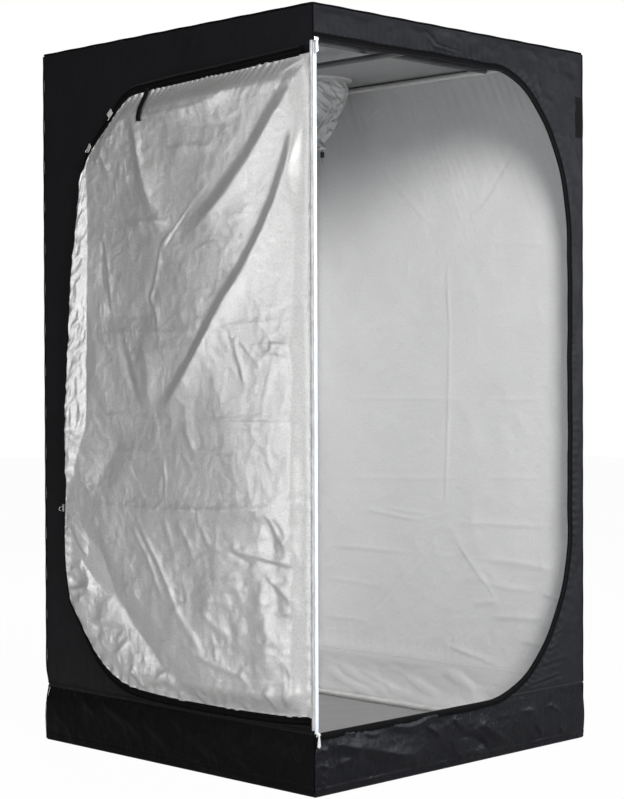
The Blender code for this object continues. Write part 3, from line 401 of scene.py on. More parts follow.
def crumple(x, y, size, seed, octaves=3):
    # pressed cloth: ridges where folded noise turns, about 0 to 1
    total, weight, span = 0, 0, 1.0
    for octave in range(octaves):
        turn = 0.6 + 1.1 * octave
        p = (x * math.cos(turn) - y * math.sin(turn)) / (size * span)
        q = (x * math.sin(turn) + y * math.cos(turn)) / (size * span)
        total = total + span * (1 - np.abs(2 * noise2(p + 7.3 * octave, q - 3.1 * octave, seed + octave) - 1))
        weight += span
        span *= 0.5
    return total / weight


def rumpled(relief, a, b, *rows):
    # the relief with crumples over it: depth, level kept, stretch of b, size, seed, octaves
    for depth, level, stretch, size, seed, octaves in rows:
        relief = relief + depth * (crumple(a, b * stretch, size, seed, octaves) - level)
    return relief


def gathers(along, distance, pitch, depth, reach, seed):
    # short pleats that stand square to a sewn edge and die away from it
    drift = along / pitch + 1.6 * noise2(along / (pitch * 5), along * 0, seed)
    size = 0.35 + 0.65 * noise2(along / (pitch * 3), along * 0 + 5, seed + 1)
    return depth * size * np.sin(2 * math.pi * drift) * np.exp(-distance / reach)


def hermite(places, at):
    # a smooth single-valued curve through the places
    xs, ys = np.array(places, float).T
    slopes = np.empty(len(xs))
    slopes[1:-1] = (ys[2:] - ys[:-2]) / (xs[2:] - xs[:-2])
    slopes[0] = (ys[1] - ys[0]) / (xs[1] - xs[0])
    slopes[-1] = (ys[-1] - ys[-2]) / (xs[-1] - xs[-2])
    k = np.clip(np.searchsorted(xs, at) - 1, 0, len(xs) - 2)
    run = xs[k + 1] - xs[k]
    t = (at - xs[k]) / run
    return ((2 * t**3 - 3 * t**2 + 1) * ys[k] + (t**3 - 2 * t**2 + t) * run * slopes[k]
            + (3 * t**2 - 2 * t**3) * ys[k + 1] + (t**3 - t**2) * run * slopes[k + 1])


def smoothPath(path, steps):
    # Catmull-Rom through the places
    if len(path) < 3:
        return path
    ends = np.vstack([2 * path[0] - path[1], path, 2 * path[-1] - path[-2]])
    out = []
    for k in range(len(path) - 1):
        a, b, c, d = ends[k:k + 4]
        for t in np.arange(steps) / steps:
            out.append(0.5 * (2 * b + (c - a) * t + (2 * a - 5 * b + 4 * c - d) * t**2
                              + (3 * b - a - 3 * c + d) * t**3))
    return np.array(out + [path[-1]])


def fromPath(a, b, path):
    # signed distance from a path, distance beyond its ends, how far along it, and its length
    found = np.stack([0 * a + 1e9, 0 * a, 0 * a, 0 * a])
    travelled, last = 0, len(path) - 2
    for k, ((ax, ay), (bx, by)) in enumerate(zip(path, path[1:])):
        length = math.hypot(bx - ax, by - ay)
        dx, dy = (bx - ax) / length, (by - ay) / length
        along = (a - ax) * dx + (b - ay) * dy
        across = (b - ay) * dx - (a - ax) * dy
        inside = np.clip(along, 0, length)
        gap = np.hypot(across, along - inside)
        over = np.zeros_like(a)
        if k == 0:
            over = np.maximum(over, -along)
        if k == last:
            over = np.maximum(over, along - length)
        signed = np.where(over > 0, across, np.sign(across) * gap)
        found = np.where(gap < found[0], np.stack([gap, signed, over, travelled + inside]), found)
        travelled += length
    return (*found[1:], travelled)


def eachFold(a, b, lines, towardLight, steps, spread):
    # for each fold: its three sizes, which places are near it, and there the distance toward the light,
    # the distance beyond its ends, how far along it they are, and its length
    for strength, first, second, *run in lines:
        path = smoothPath(np.reshape(run, (-1, 2)) / 1000, steps)
        reach = spread * max(first, second) / 1000
        (lowA, lowB), (highA, highB) = path.min(axis=0) - reach, path.max(axis=0) + reach
        near = (a > lowA) & (a < highA) & (b > lowB) & (b < highB)
        if near.any():
            offset, beyond, passed, total = fromPath(a[near], b[near], path)
            chord = path[-1] - path[0]
            side = 1 if -chord[1] * towardLight[0] + chord[0] * towardLight[1] > 0 else -1
            yield strength, first, second, near, offset * side, beyond, passed, total


def creases(a, b, lines, towardLight):
    # fine drawn folds: each is a slope along a path, dark where its tone is below 0 and bright above
    height = np.zeros_like(a)
    for tone, start, end, near, offset, beyond, passed, total in eachFold(a, b, lines, towardLight, 5, 3):
        width = start / 1000 + (end / 1000 - start / 1000) * passed / total
        ends = 0.4 + 0.6 * smoothStep(np.minimum(passed, total - passed) / (3 * width))
        height[near] -= tone * (offset * np.exp(-(offset / width)**2 - (beyond / (1.6 * width))**2) * ends)
    return height


def ridges(a, b, lines, towardLight):
    # larger folds: height at the crest in mm (below 0 a valley), how far its lit and its dark side reach,
    # then its path; the crest stays sharp, as in cloth that hangs
    height = np.zeros_like(a)
    for crest, lit, dark, near, offset, beyond, passed, total in eachFold(a, b, lines, towardLight, 8, 4):
        width = np.where(offset > 0, lit, dark) / 1000
        edge = 0.0015 + 0.09 * min(lit, dark) / 1000
        away = (np.sqrt(offset**2 + edge**2) - edge) / width
        flank = 0.5 * (1 - away + np.sqrt((1 - away)**2 + 0.03))
        away = np.where((offset < 0) == (crest > 0), flank, np.exp(-away))
        ends = smoothStep(0.08 + np.minimum(passed, total - passed) / min(0.35 * total, 0.16))
        height[near] += crest / 1000 * away * np.exp(-(beyond / (0.8 * width))**2) * ends
    return height


def spaced(low, high, count, peaks, reach, gain):
    # grid places from low to high that crowd together near the peaks
    at = np.linspace(low, high, 2000)
    crowd = np.zeros_like(at)
    for peak in peaks:
        crowd = np.maximum(crowd, np.exp(-((at - peak) / reach)**2))
    density = 1 + gain * crowd
    total = np.concatenate([[0], np.cumsum((density[1:] + density[:-1]) / 2)])
    out = np.interp(np.linspace(0, total[-1], count + 1), total, at)
    out[0], out[-1] = low, high
    return out


def gridOf(u, v):
    return u[:, None] + 0 * v, v[None, :] + 0 * u[:, None]


def standing(across, height, axis, place):
    # grid of a sheet that stands square to that axis
    parts = [across, across, height]
    parts[axis] = 0 * across + place
    return np.stack(parts, axis=-1)


def wayOf(axis, sign):
    way = np.zeros(3)
    way[axis] = sign
    return way


def unit(ways):
    return ways / np.linalg.norm(ways, axis=1)[:, None]


def runLength(path):
    # how far along the path each of its points is
    return np.concatenate([[0], np.cumsum(np.linalg.norm(np.diff(path, axis=0), axis=1))])


def steadyPath(points, pitch):
    # the same path with even steps of about that pitch
    points = np.asarray(points, float)
    along = runLength(points)
    at = np.linspace(0, along[-1], max(2, int(round(along[-1] / pitch))) + 1)
    return np.stack([np.interp(at, along, points[:, k]) for k in range(3)], axis=1)


def frames(path, up):
    # across and up directions along a path, up kept square to the run
    run = unit(np.gradient(path, axis=0))
    up = np.broadcast_to(np.asarray(up, float), path.shape)
    up = unit(up - run * np.sum(up * run, axis=1)[:, None])
    return np.cross(run, up), up


def addObject(name, mesh):
    made = bpy.data.objects.new(name, mesh)
    scene.collection.objects.link(made)
    return made


def faceOut(mesh):
    # turn every face outward
    solid = bmesh.new()
    solid.from_mesh(mesh)
    bmesh.ops.recalc_face_normals(solid, faces=solid.faces)
    solid.to_mesh(mesh)
    solid.free()
    mesh.update()


def meshOf(name, points, faces, materials, indices=None, uvs=None, sharp=50):
    mesh = bpy.data.meshes.new(name)
    mesh.from_pydata([tuple(p) for p in points], [], faces)
    for made in materials:
        mesh.materials.append(looks[made])
    if indices is not None:
        mesh.polygons.foreach_set("material_index", indices)
    layer = mesh.uv_layers.new(name="cut")
    loops = np.empty(len(mesh.loops), dtype=np.int32)
    mesh.loops.foreach_get("vertex_index", loops)
    layer.data.foreach_set("uv", np.asarray(uvs, float)[loops].ravel())
    mesh.shade_smooth()
    mesh.set_sharp_from_angle(angle=math.radians(sharp))
    mesh.validate()
    mesh.update()
    return mesh


def closedSheet(name, base, outward, height, thickness, step, front, back, uv, wrap=False):
    # fine front face with its folds, coarse back face every few points, and a rim between them
    columns, rows = height.shape
    span, tall = columns if wrap else columns - 1, rows - 1
    assert span % step == 0 and tall % step == 0, name
    face = base + outward * height[..., None]
    low = height
    for axis in (0, 1):
        margins = [(step, step) if axis == k else (0, 0) for k in (0, 1)]
        padded = np.pad(low, margins, mode="wrap" if wrap and axis == 0 else "edge")
        low = np.lib.stride_tricks.sliding_window_view(padded, 2 * step + 1, axis=axis).min(axis=-1)
    picks = np.ix_(range(0, columns, step), range(0, rows, step))
    outPicks = outward if outward.ndim == 1 else outward[picks]
    behind = base[picks] + outPicks * (low[picks] - thickness)[..., None]
    points = np.vstack([face.reshape(-1, 3), behind.reshape(-1, 3)])
    uv = np.stack(uv, axis=-1)
    cut = np.vstack([uv.reshape(-1, 2), uv[picks].reshape(-1, 2)])
    coarse = len(range(0, rows, step))

    def fine(i, j):
        return (i % columns) * rows + j

    def rough(i, j):
        return columns * rows + ((i % columns) // step) * coarse + j // step

    onward, backward = range(step + 1), range(step, -1, -1)
    faces = [(fine(i, j), fine(i + 1, j), fine(i + 1, j + 1), fine(i, j + 1))
             for i in range(span) for j in range(tall)]
    fronts = len(faces)
    acrossSteps, tallSteps = range(0, span, step), range(0, tall, step)
    faces += [(rough(i, j), rough(i, j + step), rough(i + step, j + step), rough(i + step, j))
              for i in acrossSteps for j in tallSteps]
    rims = len(faces)
    for i in acrossSteps:
        faces.append((*(fine(i + k, 0) for k in backward), rough(i, 0), rough(i + step, 0)))
        faces.append((*(fine(i + k, tall) for k in onward), rough(i + step, tall), rough(i, tall)))
    for j in () if wrap else tallSteps:
        faces.append((*(fine(0, j + k) for k in onward), rough(0, j + step), rough(0, j)))
        faces.append((*(fine(span, j + k) for k in backward), rough(span, j), rough(span, j + step)))
    i, j = span // 2, tall // 2
    du = face[(i + 1) % columns, j] - face[i % columns, j]
    dv = face[i % columns, j + 1] - face[i % columns, j]
    way = outward if outward.ndim == 1 else outward[i % columns, j]
    if np.cross(du, dv) @ way < 0:
        faces = [f[::-1] for f in faces]
    indices = np.ones(len(faces), dtype=np.int32)
    indices[:fronts] = 0
    if not back.endswith("Black"):
        indices[rims:] = 0     # the rim is never the pale side
    return addObject(name, meshOf(name, points, faces, (front, back), indices, cut))


def piercedSheet(name, layers, gaps, uv, sides, sharp, swap=False):
    # two layers of one grid, joined round each cell that is left out; swap turns the faces over
    columns, rows = layers[0].shape[:2]
    count = columns * rows
    turned = slice(None, None, -1 if swap else 1)
    corners = [pair[turned] for pair in ((0, 0), (0, 1), (1, 1), (1, 0))]
    ways = [pair[turned] for pair in ((-1, 0), (0, 1), (1, 0), (0, -1))]
    faces, indices = [], []
    for i, j in np.argwhere(~gaps).tolist():
        quad = tuple((i + di) * rows + j + dj for di, dj in corners)
        faces += [quad, tuple(n + count for n in reversed(quad))]
        indices += [0, len(sides) - 1]
        for (di, dj), a, b in zip(ways, quad, quad[1:] + quad[:1]):
            inside = 0 <= i + di < columns - 1 and 0 <= j + dj < rows - 1
            if not inside or gaps[i + di, j + dj]:
                faces.append((b, a, a + count, b + count))
                indices.append(0)
    points = np.vstack([layer.reshape(-1, 3) for layer in layers])
    uvs = np.vstack([np.stack(uv, axis=-1).reshape(-1, 2)] * 2)
    return addObject(name, meshOf(name, points, faces, sides, indices, uvs, sharp))


def sheetArea(piece):
    # half of a thin sheet's surface
    areas = np.empty(len(piece.data.polygons))
    piece.data.polygons.foreach_get("area", areas)
    return float(areas.sum() / 2)


def waist(points):
    # the cover draws in a little at the seam between walls and skirts
    out = points.copy()
    x, y, z = out[..., 0], out[..., 1], out[..., 2]
    pull = 0.009 * np.exp(-((z - skirtTop) / 0.028)**2) * smoothStep((y + 0.45) / 0.7)
    out[..., 0] = x * (1 - pull)
    out[..., 1] = np.where(y > 0, y * (1 - pull), y)
    return out


def sweep(name, path, wide, proud, section, look, closed=False):
    # a strip with that section (across, up) along the path; wide and proud are its directions there
    count, around = len(path), len(section)
    wide, proud = (np.broadcast_to(way, path.shape) for way in (wide, proud))
    points = np.stack([path + wide * across + proud * up for across, up in section], axis=1)
    along = runLength(path)
    rim = runLength(np.array([*section, section[0]]))
    faces, cuts = [], []
    for i in range(count if closed else count - 1):
        n = (i + 1) % count
        far = along[i + 1] if i + 1 < count else along[i] + (along[i] - along[i - 1])
        for k in range(around):
            m = (k + 1) % around
            faces.append((i * around + k, i * around + m, n * around + m, n * around + k))
            cuts += [(rim[k], along[i]), (rim[k + 1], along[i]), (rim[k + 1], far), (rim[k], far)]
    if not closed:
        faces += [tuple(range(around - 1, -1, -1)), tuple((count - 1) * around + k for k in range(around))]
        cuts += [(0, 0)] * (2 * around)
    mesh = bpy.data.meshes.new(name)
    mesh.from_pydata([tuple(p) for p in points.reshape(-1, 3)], [], faces)
    mesh.materials.append(looks[look])
    mesh.uv_layers.new(name="cut").data.foreach_set("uv", np.array(cuts).ravel())
    faceOut(mesh)
    mesh.shade_smooth()
    mesh.set_sharp_from_angle(angle=math.radians(50))
    return addObject(name, mesh)


def roundSection(radius, sides):
    turns = [2 * math.pi * k / sides for k in range(sides)]
    return [(radius * math.cos(turn), radius * math.sin(turn)) for turn in turns]


def flatSection(low, high, under, over, edge=0.0004):
    # a flat strip's section with its corners taken off
    return [(low + edge, under), (high - edge, under), (high, under + edge), (high, over - edge),
            (high - edge, over), (low + edge, over), (low, over - edge), (low, under + edge)]


def dress(piece, body, slotName, *nodes):
    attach(piece, body)
    if nodes:
        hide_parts(*nodes)
    return piece


# Door leaf: one sheet hanging from the corner, folded back over the left wall.
leaf = {
    "hinge": (-0.5125, -0.506),
    "start": 0.0036,
    "width": 0.8935,
    "foot": 0.1555,
    "height": 1.5295,
    "lift": 0.012,
    "liftFrom": 0.6,
    "billow": 0.032,      # how far the middle stands out over the flat leaf
    "fade": 0.055,
    "foldStrength": 1.1,
    "hemFrom": 0.67,      # the sewn hem shows above this height
    "light": (-0.8, 0.45),
    "pleats": {           # pitch, depth, reach and seed along each edge
        "top": (0.019, 0.0026, 0.020, 3),
        "foot": (0.036, 0.0034, 0.032, 5),
        "side": (0.026, 0.0016, 0.016, 7),
        "hinge": (0.034, 0.0012, 0.012, 9),
    },
    "columns": 244,
    "rows": 376,
    "hem": ((0.15, 0.874), (0.66, 0.868), (0.70, 0.856), (0.76, 0.838), (0.84, 0.806), (1.0, 0.80),
            (1.7, 0.795)),
    "top": ((0.0, 1.0), (0.30, 0.992), (0.64, 0.983), (0.72, 0.975), (0.80, 0.937), (0.89, 0.886),
            (0.92, 0.845)),
    "side": ((0.975, 0.145), (0.996, 0.20), (1.0, 0.27), (0.989, 0.38), (0.971, 0.54), (0.953, 0.69),
             (0.92, 0.845)),
    "low": ((0.0, 0.018), (0.13, 0.012), (0.40, 0.009), (0.64, 0.012), (0.76, 0.024), (0.86, 0.062),
            (0.975, 0.145)),
}
# tone, width at each end in mm, then the fold's path: across from the hinge and height by turns, in mm
leafFolds = (
    (0.4, 4.2, 4.2, 311, 1409, 402, 1340, 471, 1271),
    (-0.22, 15.4, 18.2, 653, 1062, 620, 985, 579, 898),
    (-0.22, 9.8, 9.8, 737, 1303, 715, 1211, 700, 1115),
    (0.35, 2.8, 2.8, 106, 1591, 68, 1564, 41, 1537),
    (-0.3, 2.8, 2.8, 46, 1580, 68, 1562, 92, 1541),
    (-0.25, 2.8, 2.8, 786, 1338, 711, 1331),
    (-0.35, 2.8, 2.8, 568, 1335, 503, 1324, 441, 1311),
    (-0.25, 2.8, 2.8, 695, 1266, 581, 1260),
    (-0.25, 2.8, 2.8, 237, 1334, 177, 1328),
    (-0.25, 2.8, 2.8, 323, 1283, 199, 1272),
    (-0.3, 2.8, 2.8, 259, 1072, 168, 1077, 79, 1082),
    (-0.3, 2.1, 2.1, 98, 1112, 79, 1112),
    (0.3, 2.1, 2.1, 79, 1112, 77, 1080),
    (-0.3, 2.8, 2.8, 83, 1085, 80, 1021),
    (-0.3, 3.5, 3.5, 132, 1026, 70, 1016, 21, 1009),
    (0.35, 2.8, 2.8, 121, 1035, 63, 1030, 21, 1022),
    (-0.28, 3.5, 4.2, 235, 1062, 228, 1018, 207, 971, 185, 934),
    (-0.28, 2.8, 3.5, 207, 1054, 165, 1022, 121, 978),
    (-0.35, 2.8, 2.8, 345, 851, 170, 854, 45, 853),
    (0.35, 2.8, 2.8, 497, 763, 494, 705, 489, 641),
    (-0.5, 3.5, 3.5, 627, 246, 602, 212, 585, 175),
    (-0.4, 2.8, 2.8, 575, 252, 582, 214, 584, 180),
    (-0.45, 3.5, 3.5, 553, 188, 513, 178, 469, 170),
    (-0.35, 2.8, 2.8, 520, 164, 461, 163),
)
# crest in mm, reach of the lit and the dark side in mm, then the fold's path as above
leafRidges = (
    (15, 60, 34, 14, 1655, 51, 1604, 94, 1550, 144, 1486, 193, 1432, 252, 1376, 317, 1332, 391, 1282),
    (13, 45, 27, -4, 1639, 15, 1567, 26, 1507, 44, 1456, 69, 1401, 93, 1346, 126, 1291, 162, 1235, 205, 1179,
     249, 1130, 288, 1084, 331, 1028, 380, 969, 439, 909, 509, 850),
    (2.4, 9, 14, -10, 1661, 0, 1599, 3, 1532, 13, 1466),
    (7, 30, 28, 637, 1643, 595, 1568, 572, 1487, 544, 1407, 505, 1331),
    (4, 20, 20, 662, 1630, 712, 1580, 747, 1527),
    (6, 25, 26, 585, 1602, 468, 1594, 374, 1599, 300, 1610, 258, 1635, 241, 1668),
    (1.6, 6, 6, 588, 1594, 529, 1593, 464, 1596),
    (-1.8, 16, 10, 392, 1551, 294, 1549, 203, 1543),
    (2.8, 8, 22, 475, 1508, 360, 1503, 274, 1493),
    (6, 10, 24, 621, 1334, 560, 1335, 501, 1333, 454, 1321),
    (2.2, 6, 7, 492, 1270, 465, 1290, 445, 1311),
    (2, 6, 7, 458, 1295, 487, 1267, 499, 1229, 513, 1186, 531, 1148, 510, 1113, 500, 1069, 492, 1030),
    (-5, 22, 14, 722, 1149, 699, 1118, 627, 1106, 510, 1103),
    (-4, 22, 40, 732, 1305, 742, 1225, 722, 1149),
    (1.8, 6, 10, 764, 1061, 638, 1067, 491, 1062, 338, 1064),
    (7, 40, 58, 574, 1056, 550, 997, 542, 935, 538, 864),
    (1.2, 8, 8, 532, 1023, 453, 1022, 393, 1029),
    (1.6, 8, 10, 292, 1072, 199, 1075, 94, 1082, 30, 1079),
    (2.4, 7, 7, 223, 1057, 214, 1018, 199, 976, 188, 929),
    (3, 7, 8, 202, 1045, 179, 1017, 151, 992, 131, 975),
    (2, 6, 8, 178, 1029, 76, 1027, 21, 1022),
    (2, 6, 8, 134, 1017, 64, 1007, 34, 1002),
    (1.5, 8, 8, 248, 1328, 171, 1333),
    (1.1, 8, 8, 339, 1269, 261, 1268, 185, 1271),
    (2, 7, 13, 820, 853, 662, 860, 497, 853, 344, 860),
    (1.6, 7, 9, 344, 853, 201, 858, 20, 857),
    (1.2, 6, 8, 271, 840, 52, 841),
    (1.3, 6, 8, 830, 773, 645, 771, 500, 770, 345, 777, 108, 783),
    (2, 12, 14, 404, 847, 388, 809, 361, 769),
    (-6, 60, 60, 633, 836, 714, 746, 778, 655),
    (1.4, 6, 8, 489, 766, 481, 705, 484, 640),
    (5, 14, 32, 803, 634, 659, 631, 498, 632, 344, 637, 199, 647, 116, 651, 71, 662, 21, 670),
    (-15, 46, 45, 837, 607, 797, 539, 744, 466, 691, 402, 638, 349, 574, 293, 505, 244, 441, 210, 398, 173),
    (-5, 14, 16, 879, 581, 848, 518, 797, 470, 744, 433, 711, 400),
    (-4, 16, 16, 833, 337, 755, 321, 678, 320, 619, 318),
    (5, 12, 12, 626, 241, 603, 204, 573, 167),
    (4, 14, 14, 705, 238, 667, 272, 633, 300),
    (3.5, 12, 12, 598, 194, 523, 213, 459, 205),
    (3, 9, 9, 871, 406, 807, 417, 784, 403),
    (3, 12, 12, 753, 309, 731, 278, 684, 250),
    (3.8, 8, 9, 605, 614, 556, 555, 525, 518, 489, 471, 453, 416, 426, 385),
    (2.6, 8, 9, 628, 600, 579, 541, 543, 494, 509, 436, 467, 386),
    (4, 12, 18, 481, 438, 421, 371, 379, 334, 329, 284),
    (2.2, 10, 12, 499, 622, 471, 579, 455, 542),
    (2.6, 10, 14, 438, 615, 401, 569, 366, 519),
    (2, 8, 8, 352, 634, 353, 591),
    (2.6, 8, 8, 347, 611, 326, 567, 288, 550, 255, 564),
    (3.8, 8, 9, 269, 561, 205, 549, 134, 539, 74, 532, 29, 524),
    (-2.8, 9, 9, 249, 546, 202, 530, 154, 517),
    (-2.8, 8, 8, 157, 538, 99, 523, 35, 515),
    (3.8, 7, 9, 120, 646, 96, 608, 71, 575, 57, 549),
    (2, 6, 7, 103, 647, 75, 611, 50, 567),
    (2.2, 7, 7, 24, 627, 47, 597, 74, 566),
    (2.8, 7, 8, 52, 583, 37, 552, 27, 522),
    (3.4, 12, 9, 138, 516, 98, 480, 52, 449, 28, 418),
    (1.8, 6, 8, 108, 417, 28, 418),
    (3, 12, 24, 362, 424, 271, 424, 187, 427),
    (1.5, 9, 11, 334, 485, 195, 491),
    (1.5, 9, 11, 355, 453, 178, 462),
    (6, 50, 50, 138, 500, 129, 420, 123, 329, 141, 234),
    (3.6, 12, 12, 444, 320, 369, 292, 274, 271, 175, 251),
    (3, 12, 12, 362, 414, 315, 376, 242, 340),
    (2.4, 6, 6, 303, 315, 291, 279),
    (5, 10, 11, 93, 199, 62, 223, 36, 237, 15, 229, -10, 209),
    (4.5, 12, 9, 141, 234, 115, 214, 121, 178),
    (4.5, 10, 8, 233, 193, 195, 170),
    (5.5, 14, 10, 384, 200, 351, 160),
    (4.5, 8, 8, 459, 195, 442, 159),
    (-6, 34, 34, 112, 674, 101, 491, 93, 354),
    (4, 24, 22, 18, 1432, 27, 1287, 24, 1129),
    (2, 5, 7, -10, 1674, 27, 1650, 52, 1613),
    (1.8, 5, 7, -13, 1665, 12, 1623, 21, 1579),
    (1.6, 5, 6, -4, 1681, 48, 1668, 93, 1647),
)
# crumpled patches: middle, half width and height, depth, size of the facets, seed
leafCrumples = (
    (0.78, 0.38, 0.16, 0.18, 0.0095, 0.075, 23),
    (0.60, 0.22, 0.20, 0.08, 0.0070, 0.050, 29),
    (0.70, 1.50, 0.14, 0.12, 0.0040, 0.045, 31),
    (0.10, 1.02, 0.10, 0.10, 0.0035, 0.040, 37),
    (0.30, 0.45, 0.25, 0.16, 0.0035, 0.055, 43),
    (0.03, 0.22, 0.12, 0.08, 0.0055, 0.045, 47),
    (0.09, 0.72, 0.10, 0.32, 0.0030, 0.045, 53),
    (0.16, 0.36, 0.15, 0.16, 0.0036, 0.045, 59),
)


def leafCurves(u, v):
    foot = hermite(leaf["low"], u * leaf["low"][-1][0])
    top = hermite(leaf["top"], u * leaf["top"][-1][0])
    sides = [(height, across) for across, height in leaf["side"]]
    reach = hermite(sides, sides[0][0] + (sides[-1][0] - sides[0][0]) * v) * leaf["width"]
    across = leaf["start"] + (reach - leaf["start"]) * u
    return across, leaf["foot"] + leaf["height"] * (foot + (top - foot) * v)


def leafStand(across):
    begin = leaf["width"] * leaf["liftFrom"]
    return leaf["lift"] * smoothStep((across - begin) / (leaf["width"] - begin))


def leafRelief(across, height):
    # how far the leaf's silver face stands over the flat leaf: its broad swell, and its folds
    share = np.clip(across / hermite(leaf["hem"], height), 0, 1)
    rise = (height - leaf["foot"]) / leaf["height"]
    bend = 0.48 + 0.36 * smoothStep((rise - 0.3) / 0.55)
    swell = leaf["billow"] * (np.sin(math.pi * share**bend) * (0.75 + 0.25 * np.sin(math.pi * rise)))
    swell = rumpled(swell, across, height, (0.006, 0.6, 0.8, 0.30, 11, 1))
    out = ridges(across, height, leafRidges, leaf["light"])
    out = out + leaf["foldStrength"] * creases(across, height, leafFolds, leaf["light"])
    out = rumpled(out, across, height, (0.0042, 0.6, 0.8, 0.13, 13, 3), (0.0012, 0.6, 1.3, 0.030, 17, 2))
    for middleAcross, middleHeight, wide, tall, depth, size, seed in leafCrumples:
        patch = np.exp(-(((across - middleAcross) / wide)**2 + ((height - middleHeight) / tall)**2))
        out = rumpled(out, across, height, (depth * patch, 0.6, 1.0, size, seed, 2))
    return swell, out


def leafGrid():
    # its columns and rows crowd where folds run along them
    heights, steeps = [], [0.915, 1.0]
    for row in leafFolds + leafRidges:
        path = np.reshape(row[3:], (-1, 2))
        wide, tall = abs(path[-1] - path[0])
        if wide > 2.5 * tall:
            heights += list(path[:, 1] / 1000)
        if tall > 2.0 * wide:
            steeps += [x / 1000 / 0.87 for x in path[:, 0] if x > 550]
    low, high = leaf["foot"] + 0.015 * leaf["height"], leaf["foot"] + 0.985 * leaf["height"]
    rows = spaced(low, high, leaf["rows"], heights + [low, high], 0.012, 1.6)
    return leafCurves(*gridOf(spaced(0, 1, leaf["columns"], steeps, 0.018, 1.2), (rows - low) / (high - low)))


def makeLeaf():
    across, height = leafGrid()
    drop, rise = height[:, -1:] - height, height - height[:, :1]
    toSide, hinge = across[-1:, :] - across, across - leaf["start"]
    level = np.minimum(drop, rise)
    edge = np.minimum(level, toSide)
    fade = smoothStep(level / leaf["fade"]) * smoothStep(hinge / 0.05) * smoothStep(edge / 0.012)
    close = smoothStep(edge / 0.022) * smoothStep(hinge / leaf["fade"])
    swell, folds = leafRelief(across, height)
    past = np.maximum(across - hermite(leaf["hem"], height), 0)
    hemmed = smoothStep((height - leaf["hemFrom"]) / 0.04)
    pressed = crumple(across * 1.6 + height * 0.5, height, 0.036, 41, 2) - 0.5
    strip = (0.22 * past + 0.006 * pressed * smoothStep(past / 0.012)) * hemmed * smoothStep(edge / 0.005)
    folds = folds * (1 - 0.8 * smoothStep(past / 0.012) * hemmed)
    relief = np.maximum(swell * fade + folds * close + strip, -0.004)
    kinds = leaf["pleats"]
    pleats = gathers(across - 0.5 * drop, drop, *kinds["top"]) * smoothStep((across - 0.03) / 0.1)
    pleats = pleats + gathers(across + 0.4 * rise, rise, *kinds["foot"])
    pleats = pleats + gathers(height, toSide, *kinds["side"]) + gathers(height, hinge, *kinds["hinge"])
    relief = relief + np.maximum(pleats, -0.003) * smoothStep(edge / 0.006) * smoothStep(hinge / 0.004)
    base = np.stack([leaf["hinge"][0] - leafStand(across), leaf["hinge"][1] + across, height], axis=-1)
    made = closedSheet("doorLeaf", base, wayOf(0, -1), relief + clothThick * 0.3, clothThick * 0.6, 4,
                       "leafSilver", "coverBlack", (across, height))
    dress(made, "door", "silver_cloth", "door_leaf")
    return base[..., 1] - leaf["hinge"][1], height, relief


leafAcross, leafHeight, leafOut = makeLeaf()


def leafOutAt(across, height):
    # how far the visual leaf stands out at a place on it
    near = np.argmin((leafAcross - across)**2 + (leafHeight - height)**2)
    return float(leafStand(np.float64(across)) + leafOut.ravel()[near] + clothThick * 0.3)


print("stage: door leaf")


# Cover: walls, skirts, roof and floor, each a sheet with its own folds.
cover = {
    "wallFoot": 0.1453,
    "wallTop": 1.7962,
    "innerSide": 0.4977,
    "roofReach": 0.4962,
    "port": (0.31, 0.31, 0.10),
    "ventWindow": (0.085, 0.26, 0.38),
    "inward": 0.0022,      # how far a wall's folds may sink
    "pleats": {            # pitch, depth, reach and shift of the seed along a wall's edges
        "foot": (0.031, 0.0016, 0.035, 3),
        "top": (0.037, 0.0012, 0.030, 5),
        "side": (0.045, 0.0010, 0.020, 7),
    },
}
# crest, reach of the lit and the dark side, then the path: across the wall and height by turns, all in mm
rightFolds = (
    (1.6, 5, 6, -31, 1309, -41, 1082, -37, 886, -29, 662, -25, 535),
    (-1.5, 7, 7, -10, 520, 70, 441, 147, 367, 225, 294, 298, 235),
    (1.5, 7, 7, -43, 519, -87, 468, -145, 406, -188, 365, -230, 302),
    (-1.3, 8, 8, -57, 1347, -119, 1402, -173, 1443, -244, 1533, -333, 1636),
    (1.2, 8, 8, 229, 1565, 174, 1512, 112, 1456, -9, 1350),
    (1, 6, 8, 364, 889, 145, 890, -117, 890),
    (1.2, 5, 8, -154, 890, -379, 892),
    (1, 6, 8, 386, 655, 146, 661, -117, 670),
    (1, 6, 8, -153, 674, -379, 680),
    (2, 5, 8, 292, 567, 205, 557, 69, 544),
    (1.2, 5, 7, 224, 573, 31, 563),
    (1.5, 6, 9, -36, 544, -224, 548, -439, 552),
    (1.8, 7, 10, 462, 448, 305, 452, 89, 449),
    (1.6, 7, 10, 462, 352, 367, 351, 206, 345),
    (1.4, 7, 10, 463, 238, 347, 240, 258, 236),
    (2.6, 10, 16, -145, 450, -223, 450, -293, 446, -436, 435),
    (1.8, 8, 10, -170, 383, -258, 376, -334, 376),
    (2.2, 7, 9, -362, 370, -435, 360),
    (2.2, 9, 12, -173, 289, -276, 298, -388, 303),
    (1.8, 9, 12, -116, 320, -216, 339),
    (2, 9, 10, -286, 236, -378, 232),
    (2.6, 6, 8, -9, 204, -79, 188, -152, 173, -216, 155, -279, 140),
    (2.4, 12, 14, -50, 126, -152, 115, -265, 114),
    (3.4, 12, 12, 426, 95, 384, 58, 339, 22),
    (4.4, 14, 14, 397, 99, 315, 57, 234, 28, 140, 19),
    (3.2, 12, 12, 156, 78, 86, 34),
    (1.3, 6, 9, -243, 1381, -431, 1386),
    (1.6, 7, 9, 272, 1705, 236, 1725, 196, 1744),
    (1.4, 7, 9, -147, 1323, -430, 1303),
    (1.8, 8, 9, 381, 1789, 142, 1784, -47, 1780),
)
